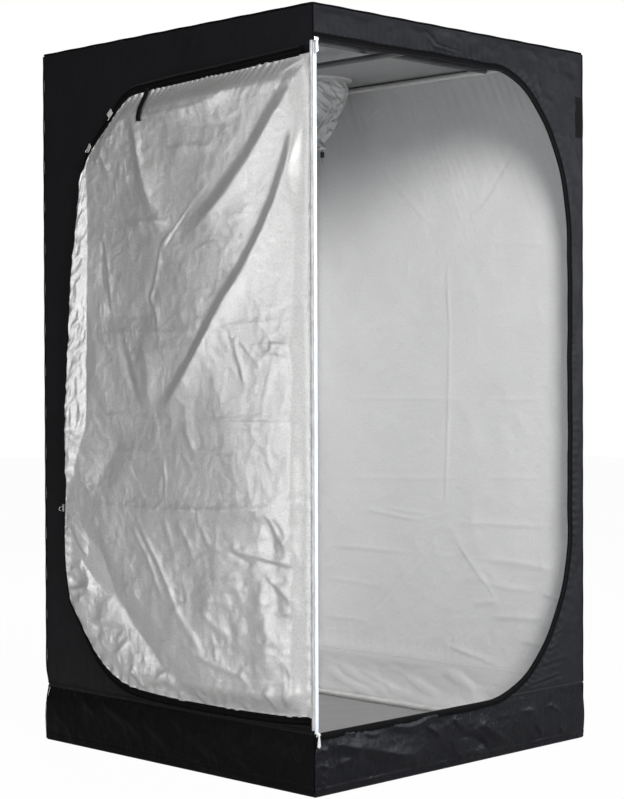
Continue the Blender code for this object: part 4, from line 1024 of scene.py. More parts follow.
# tone, width at each end, then the path as above
frontFolds = (
    (-0.5, 5, 6, -116, 1775, -98, 1765, -80, 1755),
    (-0.35, 4, 4, -95, 1754, -47, 1750, 9, 1744),
    (0.3, 8, 8, 306, 1710, 323, 1671, 335, 1634),
    (-0.5, 5, 5, 365, 278, 415, 292),
    (-0.5, 5, 5, 319, 239, 394, 252),
    (-0.5, 5, 6, 282, 205, 352, 210, 420, 218),
    (-0.5, 5, 5, 278, 164, 340, 170, 402, 178),
)


def wallRelief(across, height, seed):
    # slack of a stretched wall, 0 at its four edges
    side, rise, drop = cover["innerSide"] - np.abs(across), height - cover["wallFoot"], cover["wallTop"] - height
    edge = np.minimum(np.minimum(side, rise), drop)
    out = rumpled(0, across, height, (0.0030, 0.6, 0.7, 0.26, seed, 3))
    for edgeName, along, distance in (("foot", across, rise), ("top", across, drop), ("side", height, side)):
        *sizes, shift = cover["pleats"][edgeName]
        out = out + gathers(along, distance, *sizes, seed + shift)
    return out, smoothStep(edge / 0.05) * smoothStep(edge / 0.008)


def plainWall(name, node, sign, columns, rows, step, seed, folds=()):
    # a wall with drawn folds is seen from inside, so its silver side is the fine one
    u = np.linspace(-cover["innerSide"], cover["innerSide"], columns + 1)
    heights = [z / 1000 for row in folds for z in row[4::2]]
    across, height = gridOf(u, spaced(cover["wallFoot"], cover["wallTop"], rows, heights, 0.012, 0.9))
    relief, fade = wallRelief(across, height, seed)
    if folds:
        relief = relief + ridges(across, height, folds, (-0.75, 0.5))
        relief = rumpled(relief, across, height, (0.0018, 0.6, 1.0, 0.075, seed + 9, 2))
        drop = cover["wallTop"] - height
        relief = relief + gathers(across + 0.45 * drop, drop, 0.030, 0.0030, 0.13, seed + 11)
        most = 0.0045 + 0.02 * smoothStep((0.44 - np.abs(across)) / 0.05)
        most = 0.0015 + (most - 0.0015) * smoothStep((height - 0.020) / 0.05)
        relief = np.clip(relief * fade, -0.012, most) + 0.0002
        place, outward, sides = halfSide - clothThick, -sign, ("coverSilver", "coverBlack")
    else:
        relief = np.maximum(relief * fade, -cover["inward"]) - 0.0002
        place, outward, sides = halfSide, sign, ("coverBlack", "coverSilver")
    made = closedSheet(name, waist(standing(across, height, 0, sign * place)), wayOf(0, outward), relief,
                       clothThick * 0.5, step, *sides, (across, height))
    dress(made, "tent", "cover_black", node)


def rearWall():
    # four strips round the vent's window, drawn as one grid with the window left out
    half, low, high = cover["ventWindow"]
    side = cover["innerSide"]
    u, v = (np.unique(np.concatenate([np.linspace(*run) for run in runs])) for runs in (
        ((-side, -half, 53), (-half, half, 23), (half, side, 53)),
        ((cover["wallFoot"], low, 17), (low, high, 16), (high, cover["wallTop"], 170))))
    across, height = gridOf(u, v)
    relief, fade = wallRelief(across, height, 77)
    relief = rumpled(relief, across, height, (0.0012, 0.6, 1.0, 0.09, 83, 2))
    window = np.maximum(np.abs(across) - half - 0.02, np.maximum(low - 0.02 - height, height - high - 0.02))
    relief = np.maximum(relief * fade, -cover["inward"]) * smoothStep(window / 0.05)
    layers = [waist(standing(across, height, 1, halfSide + relief - deep)) for deep in (0, clothThick * 0.5)]
    middleU, middleV = (u[1:] + u[:-1]) / 2, (v[1:] + v[:-1]) / 2
    gaps = (np.abs(middleU) < half)[:, None] & ((middleV > low) & (middleV < high))[None, :]
    made = piercedSheet("wallRear", layers, gaps, (across, height),
                        ("coverBlack", "coverSilver"), 50)
    dress(made, "tent", "cover_black", "wall_rear")


# Front wall and its doorway
doorway = {
    "top": 1.716,
    "side": 0.437,
    "upper": (0.307, 0.43),   # half width and height of the curve's quarter ellipse
    "lower": (0.34, 0.42),
    "curve": 0.62,            # about how long each quarter is
    "wave": 0.0011,
    "rows": 40,
}
upperX, upperZ = doorway["side"] - doorway["upper"][0], doorway["top"] - doorway["upper"][1]
lowerX, lowerZ = doorway["side"] - doorway["lower"][0], skirtTop + doorway["lower"][1]


def doorwayEdge(spacing=0.003):
    # dense points of the doorway's edge, with the direction outward there
    places, ways = [], []

    def straight(points, way):
        places.extend(points)
        ways.extend([way] * len(points))

    def quarter(x, z, wide, tall, start, end):
        for turn in np.linspace(start, end, int(doorway["curve"] / spacing)):
            places.append((x + wide * math.cos(turn), z + tall * math.sin(turn)))
            ways.append((tall * math.cos(turn), wide * math.sin(turn)))

    straight([(x, doorway["top"]) for x in np.arange(-halfSide, upperX, spacing)], (0, 1))
    quarter(upperX, upperZ, *doorway["upper"], math.pi / 2, 0)
    straight([(doorway["side"], z) for z in np.arange(upperZ - spacing, lowerZ + spacing / 2, -spacing)], (1, 0))
    quarter(lowerX, lowerZ, *doorway["lower"], 0, -math.pi / 2)
    straight([(x, skirtTop) for x in np.arange(lowerX - spacing, -halfSide - 1e-6, -spacing)], (0, -1))
    ways = unit(np.array(ways, float))
    along = np.arange(len(places)) * spacing
    free = smoothStep((along - 0.05) / 0.2) * smoothStep((along[-1] - along - 0.3) / 0.2)
    wave = doorway["wave"] * free * (np.sin(along / 0.052) + 0.6 * np.sin(along / 0.021 + 1.0))
    return np.array(places) + ways * wave[:, None], ways


def frontWall():
    # a band of cloth between the doorway's edge and the wall's rim
    inner = doorwayEdge()[0]
    end = np.flatnonzero((inner[:, 1] < cover["wallFoot"] + 0.0025) & (inner[:, 0] < 0.25))[0]
    n = end - (end - 1) % 2
    inner = inner[:n]
    upper = np.flatnonzero(inner[:, 0] > upperX)[0]
    side, lower = (np.flatnonzero(inner[:, 1] <= z + 1e-6)[0] for z in (upperZ, lowerZ))
    knots = (     # place along the edge, and the rim's point that belongs to it
        (0, -halfSide, cover["wallTop"]),
        (upper, inner[upper, 0], cover["wallTop"]),
        (upper + int(0.42 * (side - upper)), halfSide, cover["wallTop"]),
        (side, halfSide, inner[side, 1]),
        (lower, halfSide, inner[lower, 1]),
        (lower + int(0.62 * (n - 1 - lower)), halfSide, cover["wallFoot"]),
        (n - 1, inner[-1, 0], cover["wallFoot"]),
    )
    at, rimX, rimZ = np.transpose(knots)
    outer = np.stack([np.interp(np.arange(n), at, rim) for rim in (rimX, rimZ)], axis=1)
    share = (np.linspace(0, 1, doorway["rows"] + 1)**1.15)[None, :, None]
    flat = inner[:, None, :] * (1 - share) + outer[:, None, :] * share
    across, height = flat[..., 0], flat[..., 1]
    fromEdge = np.linalg.norm(flat - inner[:, None, :], axis=2)
    toRim = np.minimum(np.minimum(halfSide - np.abs(across), cover["wallTop"] - height),
                       height - cover["wallFoot"])
    relief = rumpled(0, across, height, (0.0034, 0.6, 0.8, 0.16, 91, 3), (0.0022, 0.6, 1.0, 0.05, 97, 2))
    relief = relief + creases(across, height, frontFolds, (-0.6, 0.6))
    relief = relief * smoothStep((fromEdge - 0.012) / 0.03)
    run = runLength(inner)[:, None] + 0 * height
    relief = relief + gathers(run, np.maximum(fromEdge - 0.018, 0), 0.022, 0.0012, 0.016, 101) \
        * smoothStep((fromEdge - 0.016) / 0.008)
    relief = np.clip(relief * smoothStep(toRim / 0.02), -0.0025, 0.012)
    made = closedSheet("wallFront", waist(standing(across, height, 1, -halfSide)), wayOf(1, -1),
                       relief - 0.0001, clothThick * 0.6, 2, "coverBlack", "coverSilver", (across, height))
    dress(made, "tent", "cover_black", "wall_front")
    round(sheetArea(made), 3)


# Skirts: glossier black bands below the walls
skirt = {
    "low": 0.0025,
    "profile": ((0, 0.0), (0.15, 0.6), (0.4, 1.0), (0.65, 0.6), (0.82, 0.0), (1.0, -0.5)),
    "bulge": 0.003,
    "rows": 56,
    "sides": {    # axis and direction, columns, step of the coarse face, seed
        "front": (1, -1, 420, 4, 111),
        "left": (0, -1, 360, 4, 131),
        "right": (0, 1, 252, 2, 141),
        "rear": (1, 1, 252, 2, 121),
    },
}
# folds as on the right wall
skirtFolds = {
    "front": (
        (7, 26, 22, -482, 118, -407, 106, -289, 77, -184, 48, -105, 27),
        (4, 10, 13, -279, 127, -230, 126, -184, 119, -141, 123, -105, 133, -50, 128),
        (2.6, 8, 9, -130, 119, -101, 101, -61, 81),
        (2.2, 6, 7, -344, 131, -316, 118, -286, 119),
        (-4.2, 11, 22, -28, 64, 13, 68, 55, 60, 86, 41, 109, 20),
        (3, 14, 15, 67, 105, 105, 80, 144, 55, 200, 37),
        (2, 8, 8, 293, 68, 330, 27),
        (2, 8, 8, 232, 104, 314, 96),
        (2, 7, 7, 347, 105, 380, 93, 406, 79),
        (3, 5, 7, -495, 109, -456, 101),
        (3, 5, 7, -495, 73, -453, 62),
        (3, 5, 6, -496, 50, -460, 40),
        (2.6, 5, 6, -496, 29, -467, 23),
        (3, 14, 14, -32, 25, 44, 22, 113, 22),
        (3, 18, 18, -440, 64, -391, 71, -337, 70),
        (2.4, 12, 12, -31, 126, -1, 102, 36, 82),
        (2, 10, 10, 397, 46, 418, 25),
    ),
    "left": (
        (4, 12, 16, 358, 131, 321, 109, 268, 88),
        (4.5, 14, 18, 267, 126, 211, 108, 152, 90, 86, 61),
        (4.5, 13, 18, 117, 124, 78, 94, 37, 70, -16, 43),
        (5, 16, 20, -39, 117, -83, 91, -133, 68, -239, 36),
        (4, 14, 18, -137, 100, -190, 81, -253, 61, -322, 29),
        (3.6, 10, 12, -342, 116, -389, 99, -425, 69),
        (3.6, 9, 12, -412, 118, -445, 91, -467, 62),
        (2.4, 10, 12, 13, 132, -24, 112, -53, 87),
        (2.6, 12, 14, -260, 112, -302, 87, -329, 63),
    ),
    "right": (
        (-4, 14, 10, 451, 93, 397, 60, 327, 38, 242, 24),
        (-3.5, 12, 9, 405, 110, 339, 75, 258, 49, 179, 26),
        (-3.5, 13, 9, 314, 101, 234, 63, 156, 40, 71, 28),
        (-3, 14, 10, 140, 103, 78, 72, 3, 47),
        (-3, 12, 12, -5, 130, -86, 100, -151, 74),
    ),
    "rear": (
        (4, 14, 16, -420, 118, -330, 84, -250, 30),
        (-3.5, 14, 14, -180, 125, -90, 92, 10, 60),
        (4, 14, 18, 120, 112, 210, 66, 260, 22),
        (3, 12, 14, 300, 128, 380, 96, 450, 50),
    ),
}


def makeSkirt(side):
    axis, sign, columns, step, seed = skirt["sides"][side]
    front = side == "front"
    reach = halfSide if axis == 1 else cover["roofReach"]
    across, height = gridOf(np.linspace(-reach, reach, columns + 1),
                            np.linspace(skirt["low"], skirtTop, skirt["rows"] + 1))
    share = (height - skirt["low"]) / (skirtTop - skirt["low"])
    swell = hermite(skirt["profile"], share) * skirt["bulge"]
    ends = smoothStep((reach - np.abs(across)) / 0.045)
    edge = np.minimum(height - skirt["low"], skirtTop - height)
    relief = ridges(across, height, skirtFolds[side], (-0.6, 0.7) if front else (-0.7, 0.5))
    broad, fine = (0.0030, 0.0014) if front else (0.0050, 0.0026)
    relief = rumpled(relief, across * 0.7 - height * 0.5, height, (broad, 0.55, 1.3, 0.12, seed, 3))
    relief = rumpled(relief, across, height, (fine, 0.6, 1.0, 0.042, seed + 4, 2)) * ends
    relief = relief + gathers(across, skirtTop - height, 0.021, 0.0008, 0.020, seed + 6) * ends
    hem = smoothStep((0.021 - height) / 0.0015)
    relief = relief * smoothStep(edge / 0.012) + 0.0009 * hem
    relief = relief - 0.0005 * np.exp(-((height - 0.0215) / 0.0018)**2)
    relief = np.maximum(relief, -0.0035 - swell)
    # each end leans out with the swell, so that two skirts meet at the corner
    leant = across + np.sign(across) * swell * smoothStep((np.abs(across) - reach + 0.02) / 0.02)
    # the front skirt has the plain cloth; the others take its darker copy, a painted shade
    made = closedSheet("skirt" + side.capitalize(), waist(standing(leant, height, axis, sign * halfSide)),
                       wayOf(axis, sign), swell + relief, clothThick * 0.6, step,
                       "skirtBlack" if front else "skirtDeep", "coverSilver", (across, height))
    dress(made, "tent", "skirt_black", "skirt_" + side)


# Roof with its round port
def makeRoof():
    reach, (portX, portY, portRadius) = cover["roofReach"], cover["port"]
    rows, around = 80, 120
    stops = sorted(math.atan2(y * reach - portY, x * reach - portX) % (2 * math.pi)
                   for x, y in ((-1, -1), (1, -1), (1, 1), (-1, 1)))
    stops.append(stops[0] + 2 * math.pi)
    turns = np.concatenate([
        np.linspace(a, b, max(4, 2 * int(round((b - a) / (2 * math.pi) * around))), endpoint=False)
        for a, b in zip(stops, stops[1:])])
    far = []
    for port, way in ((portX, np.cos(turns)), (portY, np.sin(turns))):
        far.append(np.where(way > 0, (reach - port) / np.maximum(way, 1e-9),
                            (reach + port) / np.maximum(-way, 1e-9)))
    far = np.minimum(*far)
    radius = portRadius + (far[:, None] - portRadius) * np.linspace(0, 1, rows + 1)[None, :]
    x, y = portX + np.cos(turns)[:, None] * radius, portY + np.sin(turns)[:, None] * radius
    rim = reach - np.maximum(np.abs(x), np.abs(y))
    sag = rumpled(0.0022 * smoothStep(rim / 0.2), x, y, (0.0030, 0.45, 1.0, 0.14, 151, 3))
    sag = np.maximum(sag * smoothStep(rim / 0.04) * smoothStep((radius - portRadius) / 0.03), 0)
    # its silver face takes the darker copy of the walls' silver, a painted shade
    made = closedSheet("roofPanel", np.stack([x, y, 0 * x + tentTop - 0.0016], axis=-1), wayOf(2, -1), sag,
                       clothThick * 0.5, 2, "shadedRoofSilver", "coverBlack", (x, y), wrap=True)
    dress(made, "tent", "cover_black", "roof_panel")


# Floor: the sewn-in sheet and the loose tray on it
floors = {    # node, reach, foot, thickness, looks, slot, seed, share of the ripples, columns
    "floorSheet": ("floor_sheet", 0.4995, 0.0, 0.0019, ("coverSilver", "coverBlack"), "cover_black", 161, 0, 40),
    "floorTray": ("floor_tray", 0.4725, 0.0023, 0.0020, ("trayGrey", "trayGrey"), "tray_grey", 171, 1, 220),
}


def makeFloor(name, node, reach, low, thick, sides, slotName, seed, lift, count):
    at = np.linspace(-reach, reach, count + 1)
    x, y = gridOf(at, at)
    rim = reach - np.maximum(np.abs(x), np.abs(y))
    ripple = rumpled(0, x, y, (0.0022, 0, 0.8, 0.20, seed, 2), (0.0012, 0, 1.0, 0.07, seed + 3, 2))
    rise = lift * ripple * smoothStep(rim / 0.05) + 0.0009 * lift * smoothStep((0.020 - rim) / 0.002)
    base = np.stack([x, y, 0 * x + low + thick], axis=-1)
    made = closedSheet(name, base, wayOf(2, 1), rise, thick, 2, *sides, (x, y))
    for vertex in made.data.vertices if lift else ():
        vertex.co.z = max(vertex.co.z, low)
    dress(made, "tent", slotName, node)


plainWall("wallLeft", "wall_left", -1, 124, 206, 2, 51)
plainWall("wallRight", "wall_right", 1, 236, 376, 4, 61, rightFolds)
rearWall()
frontWall()
for side in skirt["sides"]:
    makeSkirt(side)
makeRoof()
for name, row in floors.items():
    makeFloor(name, *row)
print("stage: cover and floor")


# Geometry Nodes: small pieces along a path, such as stitches and zip teeth
def makeRunTree(shape):
    tree = bpy.data.node_groups.new(shape + "Run", "GeometryNodeTree")
    for label, way, kind in (("Geometry", "INPUT", "Geometry"), ("Pitch", "INPUT", "Float"),
                             ("Size", "INPUT", "Vector"), ("Jitter", "INPUT", "Float"),
                             ("Finish", "INPUT", "Material"), ("Geometry", "OUTPUT", "Geometry")):
        tree.interface.new_socket(label, in_out=way, socket_type="NodeSocket" + kind)
    given = addNode(tree, "NodeGroupInput").outputs
    curve = addNode(tree, "GeometryNodeMeshToCurve", {"Mesh": given["Geometry"]}).outputs[0]
    steps = addNode(tree, "GeometryNodeResampleCurve", {"Curve": curve, "Length": given["Pitch"]},
                    mode="LENGTH").outputs[0]
    lie = addNode(tree, "GeometryNodeInputNamedAttribute", {"Name": "lie"}, data_type="FLOAT_VECTOR")
    flat = addNode(tree, "FunctionNodeAlignRotationToVector", {"Vector": lie.outputs["Attribute"]}, axis="Z")
    tangent = addNode(tree, "GeometryNodeInputTangent").outputs[0]
    turned = addNode(tree, "FunctionNodeAlignRotationToVector",
                     {"Rotation": flat.outputs[0], "Vector": tangent}, axis="X", pivot_axis="Z").outputs[0]
    low, high = (sums(tree, way, 1.0, given["Jitter"]) for way in ("SUBTRACT", "ADD"))
    vary = addNode(tree, "FunctionNodeRandomValue", {"Seed": 17, 2: low, 3: high}, data_type="FLOAT")
    size = addNode(tree, "ShaderNodeVectorMath", {0: given["Size"], "Scale": vary.outputs[1]},
                   operation="SCALE").outputs[0]
    if shape == "stitch":
        made = addNode(tree, "GeometryNodeMeshIcoSphere", {"Radius": 0.5, "Subdivisions": 1})
    else:
        rod = addNode(tree, "GeometryNodeMeshCylinder", {"Vertices": 8, "Radius": 0.5, "Depth": 1.0})
        made = addNode(tree, "GeometryNodeTransform",
                       {"Geometry": rod.outputs["Mesh"], "Rotation": (math.pi / 2, 0, 0)})
    put = addNode(tree, "GeometryNodeInstanceOnPoints",
                  {"Points": steps, "Instance": made.outputs[0], "Rotation": turned, "Scale": size})
    real = addNode(tree, "GeometryNodeRealizeInstances", {"Geometry": put.outputs[0]})
    paint = addNode(tree, "GeometryNodeSetMaterial", {"Geometry": real.outputs[0], "Material": given["Finish"]})
    addNode(tree, "NodeGroupOutput", {"Geometry": paint.outputs[0]})
    return tree


runTrees = {shape: makeRunTree(shape) for shape in ("stitch", "tooth")}


def runAlong(name, paths, shape, pitch, size, look, jitter=0.06):
    # paths: (points, lie directions) pairs; returns a plain mesh object
    points, lies, edges = [], [], []
    for path, lie in paths:
        edges += [(len(points) + k, len(points) + k + 1) for k in range(len(path) - 1)]
        points += [tuple(p) for p in path]
        lies.append(np.broadcast_to(lie, path.shape))
    mesh = bpy.data.meshes.new(name + "Path")
    mesh.from_pydata(points, edges, [])
    mesh.attributes.new("lie", "FLOAT_VECTOR", "POINT").data.foreach_set("vector", np.vstack(lies).ravel())
    carrier = addObject(name + "Path", mesh)
    modifier = carrier.modifiers.new("run", "NODES")
    modifier.node_group = runTrees[shape]
    values = {"Pitch": pitch, "Size": tuple(size), "Jitter": jitter, "Finish": looks[look]}
    for item in runTrees[shape].interface.items_tree:
        if item.item_type == "SOCKET" and item.in_out == "INPUT" and item.name in values:
            modifier[item.identifier] = values[item.name]
    graph = bpy.context.evaluated_depsgraph_get()
    result = bpy.data.meshes.new_from_object(carrier.evaluated_get(graph), depsgraph=graph)
    bpy.data.objects.remove(carrier)
    result.name = name
    if not result.materials or result.materials[0] is None:
        result.materials.clear()
        result.materials.append(looks[look])
    if shape == "stitch":
        result.shade_smooth()
    layer = result.uv_layers[0] if result.uv_layers else result.uv_layers.new(name="cut")
    layer.name = "cut"
    return addObject(name, result)


def treeOf(piece):
    mesh = piece.data
    return BVHTree.FromPolygons([v.co[:] for v in mesh.vertices], [p.vertices[:] for p in mesh.polygons])


def drawnOn(tree, path, outward, lift=0.0001, reach=0.05):
    # the path pressed onto a surface from outside, standing lift above it
    outward = Vector(outward)
    out = []
    for place in path:
        hit = tree.ray_cast(Vector(place) + outward * reach, -outward, reach * 3)[0]
        out.append(tuple((hit if hit else Vector(place)) + outward * lift))
    return np.array(out)


# Zip tapes, teeth and stitches
zipper = {
    "tape": 0.018,
    "leafTape": 0.022,
    "thick": 0.0015,
    "chain": 0.005,
    "toothPitch": 0.0023,
    "tooth": (0.0015, 0.0042, 0.0015),
    "stitchPitch": 0.0042,
    "stitch": (0.0033, 0.0009, 0.0007),
    "face": -0.5003,
    "step": 0.003,
    "leafTurn": 35,           # degrees that the leaf's tape turns out of the leaf's plane
    "rows": (0.0095, 0.0162),
    "leafRows": (0.0010, 0.0085),
}
tentStitches, doorStitches = [], []


def sew(name, rows, look, body, slotName):
    made = runAlong(name, rows, "stitch", zipper["stitchPitch"], zipper["stitch"], look)
    dress(made, body, slotName)


def putTeeth(name, path, proud, body):
    made = runAlong(name, [(path, proud)], "tooth", zipper["toothPitch"], zipper["tooth"], "coilBlack", 0.02)
    dress(made, body, "webbing_black")


def makeDoorwayTape():
    edge, ways = doorwayEdge()
    path = waist(standing(edge[:, 0], edge[:, 1], 1, zipper["face"]))
    path[:, 1] = zipper["face"]
    wide, proud = standing(ways[:, 0], ways[:, 1], 1, 0), wayOf(1, -1)
    top, chain = zipper["thick"], zipper["chain"]
    made = sweep("doorwayTape", path, wide, proud, flatSection(0, zipper["tape"], 0, top), "bindingBlack")
    dress(made, "tent", "webbing_black", "doorway_zip")
    section = flatSection(chain + 0.0004, chain + 0.0020, top - 0.0002, top + 0.0006, 0.0002)
    dress(sweep("doorwayLip", path, wide, proud, section, "webbingBlack"), "tent", "webbing_black")
    putTeeth("doorwayTeeth", path + wide * (chain / 2) + proud * (top + zipper["tooth"][2] / 2), proud, "tent")
    for across in zipper["rows"]:
        tentStitches.append((path + wide * across + proud * top, proud))


def leafBorder():
    # the leaf's outline from the hinge's top, round the far side, to the hinge's foot
    u = np.linspace(0, 1, 300)
    parts = (leafCurves(u, np.ones(300)), leafCurves(np.ones(500), np.linspace(1, 0, 500)),
             leafCurves(u[::-1], np.zeros(300)))
    line = np.vstack([np.stack(part, axis=1) for part in parts])
    line = line[np.concatenate([[True], np.linalg.norm(np.diff(line, axis=0), axis=1) > 1e-6])]
    steps = runLength(line)
    at = np.arange(0, steps[-1], zipper["step"])
    line = np.stack([np.interp(at, steps, line[:, k]) for k in (0, 1)], axis=1)
    for _ in range(3):
        line[1:-1] = (line[:-2] + 2 * line[1:-1] + line[2:]) / 4
    return line


def makeLeafTape():
    line = leafBorder()
    run = unit(np.gradient(line, axis=0))
    along = np.arange(len(line)) * zipper["step"]
    keep = (along > 0.030) & (along < along[-1] - 0.005)
    (across, height), run, along = line[keep].T, run[keep], along[keep]
    path = np.stack([leaf["hinge"][0] - leafStand(across), leaf["hinge"][1] + across, height], axis=1)
    side = smoothStep((across / leaf["width"] - leaf["liftFrom"]) / (1 - leaf["liftFrom"]))
    turn = (math.radians(zipper["leafTurn"]) * side)[:, None]
    flat = standing(-run[:, 1], run[:, 0], 0, 0)
    wide = flat * np.cos(turn) + wayOf(0, 1) * np.sin(turn)
    proud = flat * np.sin(turn) - wayOf(0, 1) * np.cos(turn)
    ripple = 0.0011 * np.sin(along / 0.031) * smoothStep((along - 0.05) / 0.1)
    path = path + proud * (0.0004 + ripple[:, None] * 0.5)
    half, chain = zipper["thick"] / 2, zipper["chain"]
    made = sweep("leafTape", path, wide, proud, flatSection(-0.0022, zipper["leafTape"], -half, half),
                 "bindingBlack")
    dress(made, "door", "webbing_black", "door_zip")
    middle = zipper["leafTape"] - chain + chain / 2
    putTeeth("leafTeeth", path + wide * middle + proud * (half + zipper["tooth"][2] / 2), proud, "door")
    for spot in zipper["leafRows"]:
        doorStitches.append((path + wide * spot + proud * half, proud))


makeDoorwayTape()
makeLeafTape()


# Seams between walls and skirts, and the vertical corner seams
seams = {
    "band": (0.1405, 0.1505),
    "thick": 0.0011,
    "corner": 0.0017,
    "cornerUpper": (0.148, 1.7955),
    "cornerLower": (0.0030, 0.1440),
    "cornerShort": (1.7165, 1.7955),     # over the doorway
    "turn": 0.003,
    "roofPiping": 0.0026,
    "roofReach": 0.4994,
    "roofTurn": 0.006,
    "roofStitch": 1.7905,
    "hingeCord": 0.0030,
    "hingeTop": 1.712,
}


def aroundTent(height, start, end):
    # path from the front's toe round the right, rear and left sides, with its outward directions
    stops = np.array(((start, -halfSide), (halfSide, -halfSide), (halfSide, halfSide), (-halfSide, halfSide),
                      (-halfSide, end)))
    ways = np.array(((0, -1), (1, 0), (0, 1), (-1, 0)))
    radius = seams["turn"]
    points, outs = [], []
    for k, way in enumerate(ways):
        a, b = stops[k], stops[k + 1]
        run = (b - a) / np.linalg.norm(b - a)
        begin = a if k == 0 else a + run * radius
        stop = b if k == 3 else b - run * radius
        for t in np.linspace(0, 1, max(2, int(np.linalg.norm(stop - begin) / 0.006))):
            points.append((*(begin + (stop - begin) * t), height))
            outs.append((*way, 0))
        for t in np.linspace(0, 1, 5)[1:-1] if k < 3 else ():
            turn = way * math.cos(t * math.pi / 2) + ways[k + 1] * math.sin(t * math.pi / 2)
            points.append((*(b - run * radius - way * radius + turn * radius), height))
            outs.append((*turn, 0))
    return waist(np.array(points)), np.array(outs, float)


def makeSkirtSeam():
    low, high = seams["band"]
    half = (high - low) / 2
    path, outs = aroundTent((low + high) / 2, 0.150, -0.494)
    wave = 0.0004 * np.sin(np.arange(len(path)) * 0.9)[:, None]
    made = sweep("skirtSeam", path + outs * wave, wayOf(2, 1), outs,
                 flatSection(-half, half, 0.0001, seams["thick"]), "coverBlack")
    dress(made, "tent", "cover_black")
    for lift in (-half + 0.0022, half - 0.0022):
        tentStitches.append((path + outs * (wave + seams["thick"]) + wayOf(2, 1) * lift, outs))


def makeCornerSeams():
    corners = ((1, -1), (1, 1), (-1, 1), (-1, -1))
    runs = [(*corner, *seams["cornerUpper"]) for corner in corners[:3]] + [(-1, -1, *seams["cornerShort"])]
    runs += [(*corner, *seams["cornerLower"]) for corner in corners]
    for number, (x, y, low, high) in enumerate(runs, 1):
        z = np.linspace(low, high, max(8, int((high - low) / 0.008)))
        shift = 0.0004 * np.sin(z / 0.017 + x + 2 * y)
        path = waist(np.stack([x * (halfSide + shift), y * halfSide + 0 * z, z], axis=1))
        made = sweep(f"cornerSeam{number}", path, *frames(path, (x, y, 0)), roundSection(seams["corner"], 10),
                     "bindingBlack")
        dress(made, "tent", "webbing_black")


def makeRoofPiping():
    corner, reach, loop = seams["roofTurn"], seams["roofReach"], []
    for turn, (x, y) in zip((0, 90, 180, 270), ((1, 1), (-1, 1), (-1, -1), (1, -1))):
        for part in np.linspace(0, 90, 7):
            angle = math.radians(turn + part)
            loop.append(((reach - corner) * x + corner * math.cos(angle),
                         (reach - corner) * y + corner * math.sin(angle), tentTop - 0.0012))
    loop = steadyPath(loop + [loop[0]], 0.006)[:-1]
    loop[:, 2] += 0.0004 * np.sin(np.arange(len(loop)) * 0.35)
    run = unit(np.roll(loop, -1, axis=0) - np.roll(loop, 1, axis=0))
    up = np.broadcast_to(wayOf(2, 1), loop.shape)
    made = sweep("roofPiping", loop, np.cross(run, up), up, roundSection(seams["roofPiping"], 12), "bindingBlack",
                 closed=True)
    dress(made, "tent", "webbing_black", "roof_piping")
    t = np.linspace(0, 1, 60)
    for axis, sign, start in ((1, -1, -0.496), (0, -1, 0.495), (0, 1, -0.495), (1, 1, 0.496)):
        line = standing(start * (1 - t) - start * t, 0 * t + seams["roofStitch"], axis, sign * halfSide)
        tentStitches.append((line + wayOf(axis, sign) * 0.0002, wayOf(axis, sign)))


def makeHingeCord():
    # cloth-covered cord that the leaf turns on, with its fin sewn into the corner
    reachX, reachY = 0.0125 + 0.0015, 0.006 + 0.0015
    inward, turn = math.hypot(reachX, reachY), math.atan2(reachY, reachX)
    radius, lean = seams["hingeCord"], 0.22
    section = [(radius * math.cos(a), radius * math.sin(a)) for a in np.linspace(lean, 2 * math.pi - lean, 23)]
    section += [(inward, -0.0006), (inward, 0.0006)]
    z = np.linspace(leaf["foot"], seams["hingeTop"], 320)
    wobble = 0.00035 * (np.sin(z / 0.031) + np.sin(z / 0.013 + 2))
    path = np.stack([leaf["hinge"][0] + wobble, leaf["hinge"][1] + 0 * z, z], axis=1)
    made = sweep("hingeCord", path, (math.cos(turn), math.sin(turn), 0), (-math.sin(turn), math.cos(turn), 0),
                 section, "cordSilver")
    dress(made, "tent", "webbing_black", "corner_piping")


makeSkirtSeam()
makeCornerSeams()
makeRoofPiping()
makeHingeCord()


tie = {
    "place": 0.634,      # share of the leaf's width
    "drop": 0.083,
    "half": 0.0085,
    "thick": 0.0012,
    "stitch": 0.0068,
}
tag = {
    "low": 0.4722,
    "high": 0.4998,
    "foot": 1.578,
    "top": 1.683,
    "face": -0.5013,
    "inset": 0.003,
}


def makeTie():
    # webbing strap that hangs free over the leaf
    across = tie["place"] * leaf["width"]
    seat = leaf["foot"] + leaf["height"] * float(hermite(leaf["top"], np.array(tie["place"]))) + 0.0012
    points = []
    for drop in np.linspace(0, tie["drop"], 24):
        lean = 0.009 * (drop / tie["drop"])**1.4
        height = seat + 0.005 - drop
        out = max(leafOutAt(across + lean + side, height) for side in (-0.008, 0, 0.008)) + 0.0014
        out = max(out, float(leafStand(np.float64(across))) + 0.0030)
        out = out + 0.003 * math.sin(drop / tie["drop"] * math.pi)
        points.append((leaf["hinge"][0] - out, leaf["hinge"][1] + across + lean, height))
    points = np.array(points)
    points[1:-1] = (points[:-2] + 2 * points[1:-1] + points[2:]) / 4
    wide, proud = frames(points, (-1, 0, 0))
    made = sweep("doorTie", points, wide, proud, flatSection(-tie["half"], tie["half"], 0, tie["thick"]),
                 "webbingBlack")
    dress(made, "tie", "webbing_black", "door_tie")
    points, wide, proud = points[2:-1], wide[2:-1], proud[2:-1]
    rows = [(points + wide * side + proud * tie["thick"], proud) for side in (-tie["stitch"], tie["stitch"])]
    sew("tieStitches", rows, "threadBlack", "tie", "webbing_black")


